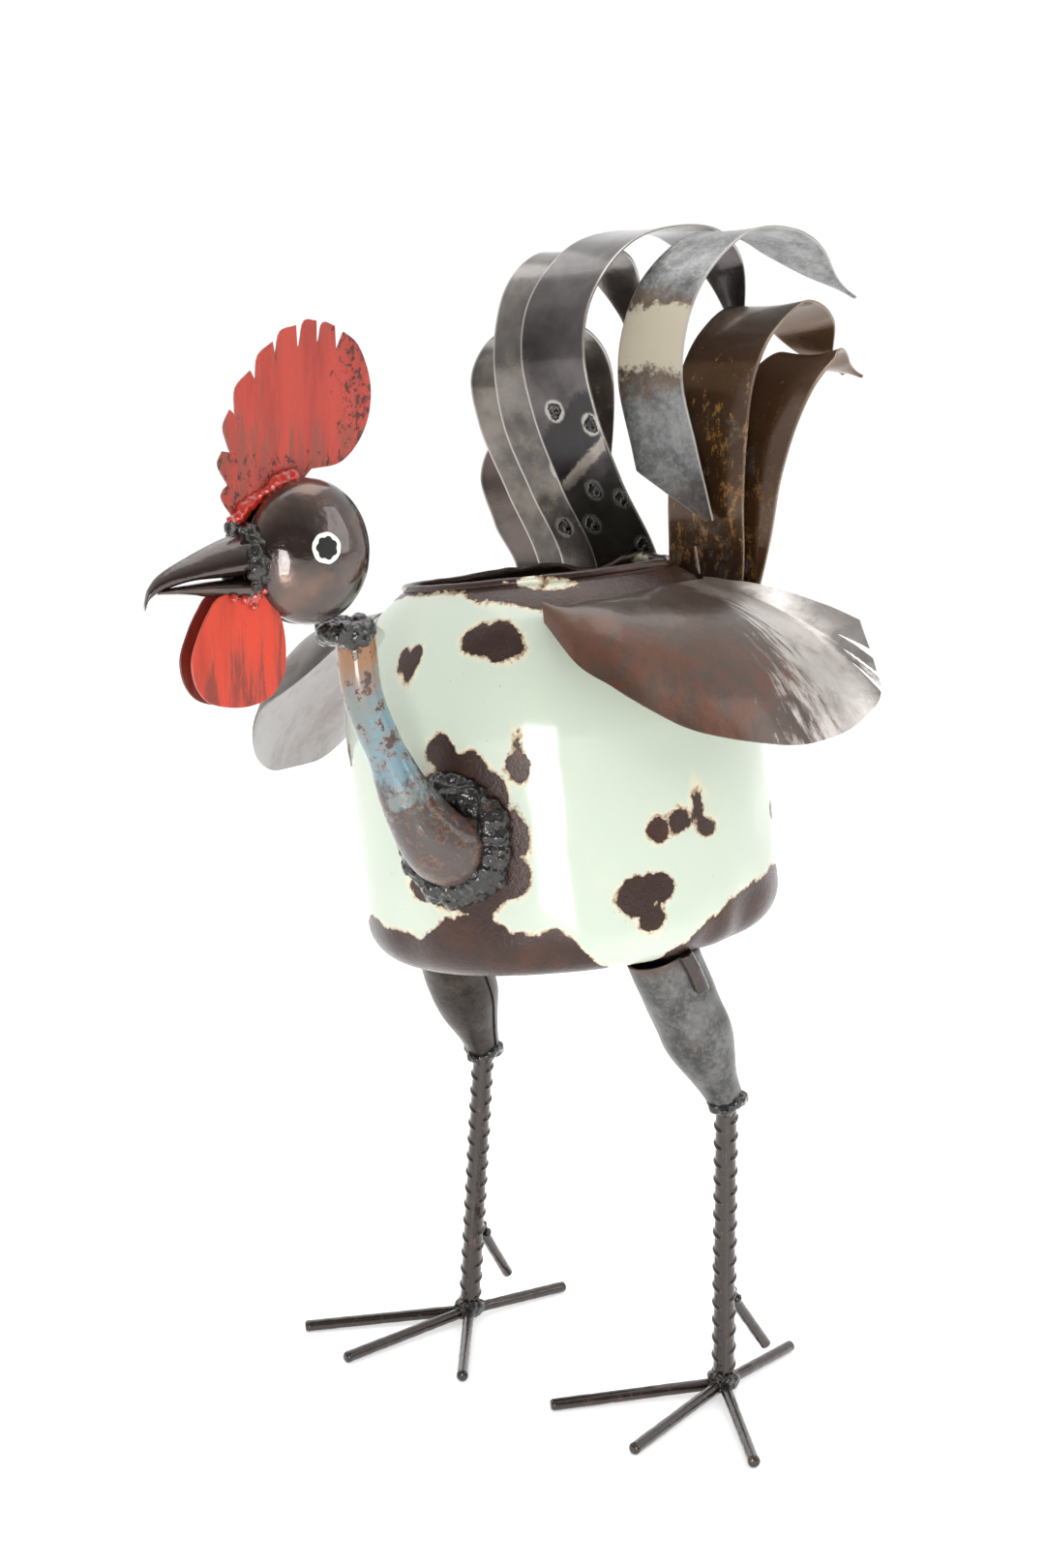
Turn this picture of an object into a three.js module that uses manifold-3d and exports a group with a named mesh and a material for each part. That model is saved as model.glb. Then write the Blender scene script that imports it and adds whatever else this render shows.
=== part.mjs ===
// Free-standing rooster made from scrap steel: an open enamel pot on two rebar legs, with a spout
// for a neck, a head of two domed discs, sheet wings and a fountain of bent strips for a tail.
// Millimetres, +Z up. The bird faces -Y and its left side is +X. It has no moving parts.
import * as THREE from "three";
import { mergeVertices } from "three/addons/utils/BufferGeometryUtils.js";
import Module from "manifold-3d";

const wasm = await Module();
wasm.setup();

// ---------------------------------------------------------------- driving dimensions
const GAP = 0.3; // left between pieces that touch
const SHEET = 1.2; // thickness of the wing and tail steel

const POT_RADIUS = 115;
const POT_HEIGHT = 205;
const POT_FLOOR = 249; // middle of the pot's underside above the ground
const POT_WALL = 1.6;
const POT_CORNER = 22; // rounding between the underside and the wall
const SHOULDER_HEIGHT = 80; // from the mouth down to the straight wall
const MOUTH_RADIUS = 75;
const RIM_BEAD = 2.4; // radius of the rolled edge
const POT_PITCH = 4.24; // degrees, nose down
const POT_ROLL = -4.65; // degrees, down on the bird's right
const POT_SIDES = 40;

const NECK_AZIMUTH = 8; // degrees from the front towards the bird's left
const NECK_UP = 76; // height of the neck's foot on the pot
const NECK_ROOT_RADIUS = 27;
const NECK_TIP_RADIUS = 10;
const NECK_WALL = 1.5;
const NECK_REACH = 63; // from the neck's foot forward to its top
const NECK_RISE = 106; // from the neck's foot up to its top

const HEAD_LONG = 62;
const HEAD_TALL = 69;
const HEAD_WIDE = 48;
const HEAD_WALL = 1.4;
const HEAD_BAND = 7; // width of the strip between the two discs
const HEAD_TURN = -21; // degrees, towards the bird's right
const HEAD_SET_FORWARD = 4; // back of the head in front of the neck's top
const HEAD_SET_UP = 8; // lowest point of the head above the neck's top
const BEAK_LENGTH = 52;
const COMB_THICK = 1.6;
const WATTLE_THICK = 1.6;
const WATTLE_SPREAD = 14; // between the two wattles
const EYE_RADIUS = 7.2;

const WING_SPREAD = { left: 65, right: 84 }; // how far each wing stands out past the pot's wall
const WING_DROP = { left: 75, right: 84 }; // from each wing's root down to its lowest edge

const STANCE = 182; // between the shanks
const FOOT_BACK = 15; // feet behind the pot's middle
const KNEE_HEIGHT = 166;
const HIP_INSET = 15; // hips nearer the middle than the shanks
const HIP_FORWARD = 44; // hips in front of the knees
const THIGH_TOP_RADIUS = 19.5;
const THIGH_KNEE_RADIUS = 10;
const THIGH_WALL = 1.3;
const STRUT_OUT = 20; // the short strut beside each hip, outside and in front of the thigh's axis
const STRUT_FORWARD = 7;
const STRUT_LENGTH = 27;
const REBAR_RADIUS = 6;
const REBAR_RIB = 0.9;
const RIB_PITCH = 10;
const TOE_RADIUS = 3.3;
const TOE_LENGTH = 100;
const BACK_TOE_LENGTH = 73;
const HUB_RADIUS = 9.5;
const HUB_HEIGHT = 13;
const SPUR_UP = 52; // where the spur leaves the back of the shank
const SPUR_BACK = 38;
const SPUR_DROP = 36;

// ---------------------------------------------------------------- finishes
const finish = (color, roughness, metalness) =>
  new THREE.MeshStandardMaterial({ color, roughness, metalness });
const ENAMEL = finish("#d6e4cf", 0.25, 0.1);
const BLUE_ENAMEL = finish("#93b3bd", 0.35, 0.1);
const DARK_STEEL = finish("#473d38", 0.3, 0.7);
const WELD = finish("#2b2624", 0.35, 0.8);
const RED_PAINT = finish("#c4402a", 0.35, 0.1);
const WING_STEEL = finish("#8a7f78", 0.28, 0.9);
const TAIL_STEEL = finish("#736d6a", 0.3, 0.9);
const RUSTY_STEEL = finish("#5a3a22", 0.4, 0.6);
const GALVANISED = finish("#84888a", 0.45, 0.8);
const LACQUERED_ROD = finish("#41352e", 0.3, 0.8);
const EYE_WHITE = finish("#f1efe9", 0.4, 0);
const EYE_BLACK = finish("#0d0c0c", 0.5, 0);

// ---------------------------------------------------------------- solids and shapes
const deg = THREE.MathUtils.degToRad;
const vec = (x, y, z) => new THREE.Vector3(x, y, z);

function solidOf(geometry) {
  const bare = geometry.clone();
  bare.deleteAttribute("normal");
  bare.deleteAttribute("uv");
  const merged = mergeVertices(bare, 1e-4);
  return new wasm.Manifold(
    new wasm.Mesh({
      numProp: 3,
      vertProperties: merged.attributes.position.array,
      triVerts: new Uint32Array(merged.index.array),
    }),
  );
}

function geometryOf(solid) {
  const mesh = solid.getMesh();
  const geometry = new THREE.BufferGeometry();
  geometry.setAttribute("position", new THREE.BufferAttribute(mesh.vertProperties, 3));
  geometry.setIndex(new THREE.BufferAttribute(mesh.triVerts, 1));
  const faceted = geometry.toNonIndexed();
  faceted.computeVertexNormals();
  return faceted;
}

function cut(geometry, ...tools) {
  let solid = solidOf(geometry);
  for (const tool of tools) solid = solid.subtract(solidOf(tool));
  return geometryOf(solid);
}

// Moves each vertex of a geometry to where `place` puts it.
function reshape(geometry, place) {
  const position = geometry.attributes.position;
  for (let i = 0; i < position.count; i++) {
    const point = place(vec(position.getX(i), position.getY(i), position.getZ(i)));
    position.setXYZ(i, point.x, point.y, point.z);
  }
  geometry.computeVertexNormals();
  return geometry;
}

// A thin closed sheet over the surface `place(u, v)`, with u and v from 0 to 1.
function sheet(place, thickness, across, along) {
  const step = 1e-3;
  return reshape(new THREE.BoxGeometry(1, 1, 1, across, along, 1), (p) => {
    const u = p.x + 0.5;
    const v = p.y + 0.5;
    const du = place(u + step, v).sub(place(u - step, v));
    const dv = place(u, v + step).sub(place(u, v - step));
    const normal = du.cross(dv).normalize();
    return place(u, v).addScaledVector(normal, p.z * thickness);
  });
}

// A bar or tube wall that follows a curve; `radius(t)` is its outer radius along the way.
function swept(curve, radius, sides, steps, side = vec(1, 0, 0)) {
  return reshape(new THREE.CylinderGeometry(1, 1, 1, sides, steps), (p) => {
    const t = p.y + 0.5;
    const tangent = curve.getTangent(t);
    const across = side.clone().addScaledVector(tangent, -side.dot(tangent)).normalize();
    const up = across.clone().cross(tangent);
    const point = curve.getPoint(t);
    return point.addScaledVector(across, p.x * radius(t)).addScaledVector(up, p.z * radius(t));
  });
}

const line = (from, to) => new THREE.LineCurve3(from, to);

// A round bar with small chamfers, from one point to another.
function rod(from, to, radius, sides = 10) {
  const length = from.distanceTo(to);
  const chamfer = Math.min(0.8, radius / 4);
  const profile = [
    [0, 0],
    [radius - chamfer, 0],
    [radius, chamfer],
    [radius, length - chamfer],
    [radius - chamfer, length],
    [0, length],
  ].map(([r, h]) => new THREE.Vector2(r, h));
  const bar = new THREE.LatheGeometry(profile, sides);
  const aim = new THREE.Quaternion().setFromUnitVectors(vec(0, 1, 0), to.clone().sub(from).normalize());
  return bar.applyQuaternion(aim).translate(from.x, from.y, from.z);
}

// A ring of welding: a round bead whose thickness rises and falls.
function weldRing(radius, bead, lumps, sides = 6, steps = 20) {
  return reshape(new THREE.TorusGeometry(radius, bead, sides, steps), (p) => {
    const turn = Math.atan2(p.y, p.x);
    const middle = vec(Math.cos(turn), Math.sin(turn), 0).multiplyScalar(radius);
    const swell = 1 + 0.16 * Math.sin(lumps * turn) + 0.1 * Math.cos(3 * turn);
    return middle.clone().add(p.sub(middle).multiplyScalar(swell));
  });
}

// An uneven lump of weld metal with half-sizes along X, Y and Z.
function weldLump(halfX, halfY, halfZ, detail = 1) {
  return reshape(new THREE.IcosahedronGeometry(1, detail), (p) => {
    const swell = 1 + 0.09 * Math.sin(5 * p.x + 3 * p.z) + 0.07 * Math.cos(6 * p.y - 2 * p.x);
    return vec(p.x * halfX, p.y * halfY, p.z * halfZ).multiplyScalar(swell);
  });
}

const bird = new THREE.Group();

function add(parent, name, geometry, material) {
  const mesh = new THREE.Mesh(geometry, material);
  mesh.name = name;
  parent.add(mesh);
  return mesh;
}

// ---------------------------------------------------------------- pot
const pot = new THREE.Group();
pot.position.set(0, 0, POT_FLOOR);
pot.rotation.set(deg(POT_PITCH), deg(POT_ROLL), 0, "YXZ");
pot.updateMatrix();
bird.add(pot);

const SHOULDER_FOOT = POT_HEIGHT - SHOULDER_HEIGHT;
const LIP = 5; // height of the short collar under the rolled edge

// The pot's outer profile from the middle of its underside to the collar, grown by `out`.
function potOutline(out, cornerSteps, shoulderSteps) {
  const points = [[0, -out]];
  for (let i = 0; i <= cornerSteps; i++) {
    const turn = (i / cornerSteps) * Math.PI * 0.5;
    const reach = POT_CORNER + out;
    points.push([
      POT_RADIUS - POT_CORNER + reach * Math.sin(turn),
      POT_CORNER - reach * Math.cos(turn),
    ]);
  }
  const shoulder = new THREE.QuadraticBezierCurve(
    new THREE.Vector2(POT_RADIUS + out, SHOULDER_FOOT),
    new THREE.Vector2(POT_RADIUS - 3 + out, POT_HEIGHT - SHOULDER_HEIGHT * 0.36 + out * 0.4),
    new THREE.Vector2(MOUTH_RADIUS + 1 + out, POT_HEIGHT - LIP + out * 0.4),
  );
  for (const p of shoulder.getPoints(shoulderSteps)) points.push([p.x, p.y]);
  return points;
}

function potRadiusAt(up) {
  const outline = potOutline(0, 4, 6);
  for (let i = 1; i < outline.length; i++) {
    const [r0, z0] = outline[i - 1];
    const [r1, z1] = outline[i];
    if (up >= z0 && up <= z1) return r0 + ((r1 - r0) * (up - z0)) / Math.max(z1 - z0, 1e-6);
  }
  return MOUTH_RADIUS;
}

// The beaten rear of the mouth: a shallow wave that lifts and drops the rolled edge.
function beaten(p) {
  const turn = Math.atan2(p.x, -p.y);
  const rear = Math.max(0, -Math.cos(turn));
  const high = THREE.MathUtils.smoothstep(p.z, POT_HEIGHT - 14, POT_HEIGHT);
  const wave = (2.6 * Math.sin(5 * turn + 0.6) + 1.4 * Math.sin(9 * turn)) * rear * high;
  return vec(p.x * (1 - 0.014 * rear * high), p.y * (1 - 0.014 * rear * high), p.z + wave);
}

const turned = (profile, sides) =>
  new THREE.LatheGeometry(
    profile.map(([r, z]) => new THREE.Vector2(r, z)),
    sides,
  ).rotateX(Math.PI / 2);

function potBody() {
  const outer = potOutline(0, 4, 6);
  const inner = potOutline(-POT_WALL, 4, 6).reverse();
  const bead = [];
  for (let i = 0; i <= 7; i++) {
    const turn = (-0.35 + (i / 7) * 1.6) * Math.PI;
    bead.push([
      MOUTH_RADIUS - RIM_BEAD + RIM_BEAD * Math.cos(turn),
      POT_HEIGHT - RIM_BEAD + RIM_BEAD * Math.sin(turn),
    ]);
  }
  return reshape(turned([...outer, ...bead, ...inner], POT_SIDES), beaten);
}

// The space that the pot and its filling take, grown by `out`, in the pot's own frame.
function potEnvelope(out = GAP) {
  const top = POT_HEIGHT + out;
  const outline = potOutline(out, 4, 6);
  return reshape(
    turned([...outline, [MOUTH_RADIUS + out + 1, top], [0, top]], POT_SIDES),
    beaten,
  );
}
const potSpace = potEnvelope().applyMatrix4(pot.matrix); // the same in the bird's frame

// A point on the pot's outside in the pot's frame; azimuth 0 is the front, 90 the bird's left.
function onPot(azimuth, up, out = 0) {
  const r = potRadiusAt(up) + out;
  return vec(Math.sin(deg(azimuth)) * r, -Math.cos(deg(azimuth)) * r, up);
}
const onPotInBird = (azimuth, up, out = 0) => onPot(azimuth, up, out).applyMatrix4(pot.matrix);

add(pot, "pot_body", potBody(), ENAMEL);

function rimTab() {
  const azimuth = 128;
  const root = onPot(azimuth, POT_HEIGHT - LIP - 6, 3.5);
  const side = vec(Math.cos(deg(azimuth)), Math.sin(deg(azimuth)), 0);
  const tab = sheet(
    (u, v) =>
      root
        .clone()
        .addScaledVector(side, (u - 0.5) * 20 * (1 - 0.75 * v))
        .add(vec(0, 0, v * 15)),
    SHEET,
    2,
    3,
  );
  return cut(tab, potEnvelope());
}
add(pot, "rim_tab", rimTab(), RUSTY_STEEL);

// ---------------------------------------------------------------- neck
const neckFoot = onPotInBird(NECK_AZIMUTH, NECK_UP);
const neckTop = vec(0, neckFoot.y - NECK_REACH, neckFoot.z + NECK_RISE);

const neckPath = new THREE.CatmullRomCurve3([
  onPotInBird(NECK_AZIMUTH, NECK_UP + 6, -14),
  onPotInBird(NECK_AZIMUTH, NECK_UP, 10),
  vec(neckFoot.x * 0.6, neckFoot.y - NECK_REACH * 0.43, neckFoot.z + NECK_RISE * 0.17),
  vec(neckFoot.x * 0.2, neckFoot.y - NECK_REACH * 0.67, neckFoot.z + NECK_RISE * 0.44),
  vec(0, neckTop.y + 5, neckTop.z - NECK_RISE * 0.26),
  neckTop,
]);

function neckRadius(t) {
  const flare = Math.max(0, 1 - t / 0.62) ** 1.15;
  return NECK_TIP_RADIUS + (NECK_ROOT_RADIUS - NECK_TIP_RADIUS) * flare;
}

const neckSpace = (out) => swept(neckPath, (t) => neckRadius(t) + out, 14, 12);

function neckSpout() {
  const bore = swept(neckPath, (t) => neckRadius(t) - NECK_WALL, 14, 12);
  const past = rod(
    neckTop.clone().add(vec(0, 2, -8)),
    neckTop.clone().add(vec(0, -2, 8)),
    NECK_TIP_RADIUS - NECK_WALL - 0.4,
    12,
  );
  return cut(neckSpace(0), potSpace, bore, past);
}
add(bird, "neck_spout", neckSpout(), BLUE_ENAMEL);

function neckRootWeld() {
  const away = onPotInBird(NECK_AZIMUTH, NECK_UP, 60).sub(neckFoot).normalize();
  const ring = weldRing(NECK_ROOT_RADIUS + 1, 5.5, 7, 7, 24);
  ring.applyQuaternion(new THREE.Quaternion().setFromUnitVectors(vec(0, 0, 1), away));
  const foot = onPotInBird(NECK_AZIMUTH, NECK_UP, 1.2);
  ring.translate(foot.x, foot.y, foot.z);
  return cut(ring, potSpace, neckSpace(GAP));
}
add(bird, "neck_root_weld", neckRootWeld(), WELD);

// ---------------------------------------------------------------- head
const head = new THREE.Group();
head.position.set(
  0,
  neckTop.y - HEAD_SET_FORWARD - HEAD_LONG / 2,
  neckTop.z + HEAD_SET_UP + HEAD_TALL / 2,
);
head.rotation.z = deg(HEAD_TURN);
head.updateMatrix();
bird.add(head);

const DISC_DEPTH = (HEAD_WIDE - HEAD_BAND) / 2 - GAP;
const DISC_SIDES = 20;

// Quarter of a dome's outline, from its rim to its crown.
const domeArc = (radius, depth) =>
  Array.from({ length: 7 }, (_, i) => {
    const turn = (i / 6) * Math.PI * 0.5;
    return new THREE.Vector2(radius * Math.cos(turn), depth * Math.sin(turn));
  });

// Lays a shape that was turned about Y on its side as a head disc: round about X, narrower along Y.
const asHead = (geometry) => geometry.rotateZ(-Math.PI / 2).scale(1, HEAD_LONG / HEAD_TALL, 1);

// The space that the whole head takes, grown by `out`.
function headSpace(out) {
  const half = HEAD_BAND / 2 + GAP;
  const arc = domeArc(HEAD_TALL / 2 + out, DISC_DEPTH + out);
  const right = arc.map((p) => new THREE.Vector2(p.x, p.y + half));
  const left = arc.map((p) => new THREE.Vector2(p.x, -p.y - half)).reverse();
  return asHead(new THREE.LatheGeometry([...left, ...right], DISC_SIDES));
}

// One of the two domed discs; side is 1 for the bird's left and -1 for its right.
function headDisc(side) {
  const radius = HEAD_TALL / 2;
  const outer = domeArc(radius, DISC_DEPTH);
  const inner = domeArc(radius - HEAD_WALL, DISC_DEPTH - HEAD_WALL).reverse();
  const disc = asHead(new THREE.LatheGeometry([...outer, ...inner, outer[0].clone()], DISC_SIDES));
  disc.rotateY(side > 0 ? 0 : Math.PI);
  return disc.translate(side * (HEAD_BAND / 2 + GAP), 0, 0);
}
add(head, "head_disc_left", headDisc(1), DARK_STEEL);
add(head, "head_disc_right", headDisc(-1), DARK_STEEL);

function headBand() {
  const from = deg(-12); // from behind the comb, over the back, to the neck
  const sweep = deg(152);
  return sheet(
    (u, v) => {
      const turn = from + v * sweep;
      const y = (HEAD_LONG / 2 - 0.8) * Math.sin(turn);
      const z = (HEAD_TALL / 2 - 0.8) * Math.cos(turn);
      return vec((0.5 - u) * HEAD_BAND, y, z);
    },
    HEAD_WALL,
    1,
    18,
  );
}
add(head, "head_band", headBand(), DARK_STEEL);

// The beak: cross-sections along the way forward from the head's middle.
// Each row is how far forward, the middle's height, half the width, and the rise and fall of the skin.
const BEAK_ROOT = HEAD_LONG / 2 - 3;
const UPPER_BEAK = [
  [0, -4, 16, 15, 7],
  [0.3, -7, 12, 12.5, 5],
  [0.6, -10.5, 8, 8.5, 3],
  [0.85, -14, 4.6, 4.6, 3.6],
  [0.96, -18, 2.8, 2.6, 3.4],
  [1, -24, 1.5, 2.2, 2.4],
];
const LOWER_BEAK = [
  [0, -16, 13, 4.2, 7],
  [0.35, -16.2, 9.5, 3.2, 4.6],
  [0.7, -17, 5.5, 1.6, 2.4],
  [0.88, -18, 2.6, 0.7, 1.2],
];

// A solid bill through the given cross-sections.
function bill(rows) {
  const at = (t) => {
    const place = Math.min(t * (rows.length - 1), rows.length - 1 - 1e-6);
    const row = Math.floor(place);
    return rows[row].map((a, k) => a + (rows[row + 1][k] - a) * (place - row));
  };
  return reshape(new THREE.CylinderGeometry(1, 1, 1, 12, 2 * (rows.length - 1)), (p) => {
    const [share, z, half, rise, fall] = at(p.y + 0.5);
    const lift = p.z < 0 ? -p.z * rise : -p.z * fall;
    return vec(p.x * half, -(BEAK_ROOT + share * BEAK_LENGTH), z + lift);
  });
}
const grown = (rows, out) =>
  rows.map(([share, z, half, rise, fall]) => [share, z, half + out, rise + out, fall + out]);
const upperBeak = cut(bill(UPPER_BEAK), headSpace(GAP), bill(grown(LOWER_BEAK, GAP)));
const lowerBeak = cut(bill(LOWER_BEAK), headSpace(GAP));
add(head, "beak_upper", upperBeak, DARK_STEEL);
add(head, "beak_lower", lowerBeak, DARK_STEEL);

// The comb: a flat plate cut into teeth. Points are forward and up from the head's middle, laid out
// for a head whose crown is COMB_CROWN above its middle.
const COMB_CROWN = 34.5;
const COMB_FOOT = [
  [3, 31],
  [15, 27.5],
  [25.5, 20],
  [33, 11],
];
const COMB_TEETH = [
  [[36.5, 16], [42, 25], [40.5, 29]],
  [[38.5, 30.5], [43.5, 40], [41, 46], [37, 45.5]],
  [[38, 47.5], [40.5, 57], [37, 65], [32, 60.5]],
  [[34.5, 63.5], [34, 75], [26.5, 83], [23, 76.5]],
  [[24, 79], [22.5, 90], [15, 96.5], [13.5, 88]],
  [[13.5, 92], [11, 101.5], [3, 104.5], [2.5, 94]],
  [[1.5, 95.5], [-1.5, 107], [-7.5, 107], [-7.5, 97]],
  [[-8.5, 98], [-11, 106.5], [-17, 105], [-17.5, 93.5]],
];
const COMB_BACK = [
  [-21.5, 102.5],
  [-28, 98],
  [-33, 88.5],
  [-35.5, 77],
  [-34, 63],
  [-28, 50.5],
  [-18.5, 41.5],
  [-4, 38.5],
];

function plate(points, thickness) {
  const shape = new THREE.Shape(points.map(([s, z]) => new THREE.Vector2(s, z)));
  const slab = new THREE.ExtrudeGeometry(shape, { depth: thickness, bevelEnabled: false });
  // the outline's first axis points forward (-Y) and its second up
  return slab.translate(0, 0, -thickness / 2).rotateX(Math.PI / 2).rotateZ(-Math.PI / 2);
}

const combPlate = (thickness) =>
  plate([...COMB_FOOT, ...COMB_TEETH.flat(), ...COMB_BACK], thickness).translate(
    0,
    0,
    HEAD_TALL / 2 - COMB_CROWN,
  );
const combFlat = combPlate(COMB_THICK);
add(head, "comb", cut(combFlat, headSpace(GAP), bill(grown(UPPER_BEAK, GAP))), RED_PAINT);

const WATTLE = [
  [21, -19],
  [46.5, -20],
  [52, -27],
  [57.5, -38],
  [61, -50],
  [59, -61],
  [53, -68.5],
  [42, -71.5],
  [31, -71],
  [21.5, -67],
  [15, -58],
  [13.5, -47],
  [15, -33],
];
const combSpace = combPlate(COMB_THICK + 2 * GAP);

function wattle(side) {
  const blade = plate(WATTLE, WATTLE_THICK);
  blade.translate((side * WATTLE_SPREAD) / 2, 0, 0);
  return cut(blade, headSpace(GAP), bill(grown(UPPER_BEAK, GAP)), bill(grown(LOWER_BEAK, GAP)));
}
add(head, "wattle_left", wattle(1), RED_PAINT);
add(head, "wattle_right", wattle(-1), RED_PAINT);

const lobed = (radius, depth, lobes, holeOrShape) => {
  const points = [];
  for (let i = 0; i < lobes * 4; i++) {
    const turn = (i / (lobes * 4)) * 2 * Math.PI;
    const r = radius - depth * Math.abs(Math.cos((lobes * turn) / 2)) ** 3;
    points.push(new THREE.Vector2(r * Math.cos(turn), r * Math.sin(turn)));
  }
  return new holeOrShape(points);
};

function eyeRing() {
  const shape = new THREE.Shape().absarc(0, 0, EYE_RADIUS, 0, 2 * Math.PI);
  shape.holes.push(lobed(EYE_RADIUS - 1.6, 1.1, 7, THREE.Path));
  return new THREE.ExtrudeGeometry(shape, { depth: 1.6, bevelEnabled: false, curveSegments: 10 });
}
const eyePupil = () =>
  new THREE.ExtrudeGeometry(lobed(EYE_RADIUS - 1.6 - GAP, 1.1, 7, THREE.Shape), {
    depth: 0.8,
    bevelEnabled: false,
  });
for (const [name, side] of [["left", 1], ["right", -1]]) {
  const eye = new THREE.Group();
  eye.position.set(side * (HEAD_WIDE / 2 + GAP), 0, 2);
  eye.rotation.y = (side * Math.PI) / 2;
  head.add(eye);
  add(eye, `eye_ring_${name}`, eyeRing(), EYE_WHITE);
  add(eye, `eye_pupil_${name}`, eyePupil(), EYE_BLACK);
}

// Welds that hold the head together.
function beakWeld() {
  const ring = weldRing(15.5, 4.6, 6).rotateX(Math.PI / 2);
  ring.scale(1.02, 1, 1.06).translate(0, -(HEAD_LONG / 2 - 0.5), -5);
  const upper = bill(grown(UPPER_BEAK, GAP));
  const lower = bill(grown(LOWER_BEAK, GAP));
  const wattles = [1, -1].map((side) =>
    plate(WATTLE, WATTLE_THICK + 2 * GAP).translate((side * WATTLE_SPREAD) / 2, 0, 0),
  );
  return cut(ring, headSpace(GAP), upper, lower, combSpace, ...wattles);
}
add(head, "beak_weld", beakWeld(), WELD);

function neckTopWeld() {
  const lump = weldLump(12.5, 16, 13);
  const toHead = head.matrix.clone().invert();
  const middle = neckTop.clone().add(vec(0, -8, 6)).applyMatrix4(toHead);
  lump.translate(middle.x, middle.y, middle.z);
  return cut(lump, headSpace(GAP), neckSpace(GAP).applyMatrix4(toHead));
}
add(head, "neck_top_weld", neckTopWeld(), WELD);

// ---------------------------------------------------------------- wings
// The outer edge from the front corner round to the rear corner, as azimuth, distance past the pot's
// wall as a share of the spread, and height as a share of the drop.
const WING_EDGE = [
  [38, -0.1, 0.02],
  [44, 0.28, 0.3],
  [49.6, 0.55, 0.47],
  [61, 0.68, 0.76],
  [77, 0.84, 0.97],
  [91, 0.93, 1],
  [100, 1, 0.93],
  [104.5, 1.08, 0.8],
  [105, 1.05, 0.6],
  [107.5, 0.93, 0.28],
];
const WING_ROOT_UP = 186;
const WING_FRONT = 38;
const WING_REAR = 124;
const SLITS = [0.8, 0.86, 0.92]; // where the slits between the feather tips lie along the edge
const SLIT_START = 0.8; // how far out across the wing a slit begins

function wing(name) {
  const side = name === "left" ? 1 : -1;
  const edge = new THREE.CatmullRomCurve3(
    WING_EDGE.map(([azimuth, out, down]) => {
      const r = POT_RADIUS + out * WING_SPREAD[name];
      const up = WING_ROOT_UP - 2 - down * WING_DROP[name];
      return vec(r * Math.sin(deg(azimuth)), -r * Math.cos(deg(azimuth)), up);
    }),
  );
  const surface = (u, v) => {
    const along = THREE.MathUtils.clamp(v, 0, 1);
    const azimuth = WING_FRONT + (WING_REAR - WING_FRONT) * v;
    const root = onPot(azimuth, WING_ROOT_UP + 8 * Math.sin(2.5 * Math.min(along, 0.9)), 1.4);
    const point = root.lerp(edge.getPoint(along), 0.03 + 0.97 * u);
    const belly = 4 * u * (1 - u) * (0.25 + 0.75 * Math.sin(Math.PI * Math.min(along + 0.12, 1)));
    point.add(vec(7 * Math.sin(deg(azimuth)), -7 * Math.cos(deg(azimuth)), 15).multiplyScalar(belly));
    return vec(side * point.x, point.y, point.z);
  };
  const slits = SLITS.map((at) =>
    sheet((u, v) => surface(SLIT_START + 0.3 * v, at + (u - 0.5) * 0.014 * (0.2 + v)), 12, 1, 4),
  );
  return cut(sheet(surface, SHEET, 6, 16), potEnvelope(), ...slits);
}
add(pot, "wing_left", wing("left"), WING_STEEL);
add(pot, "wing_right", wing("right"), WING_STEEL);

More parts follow.
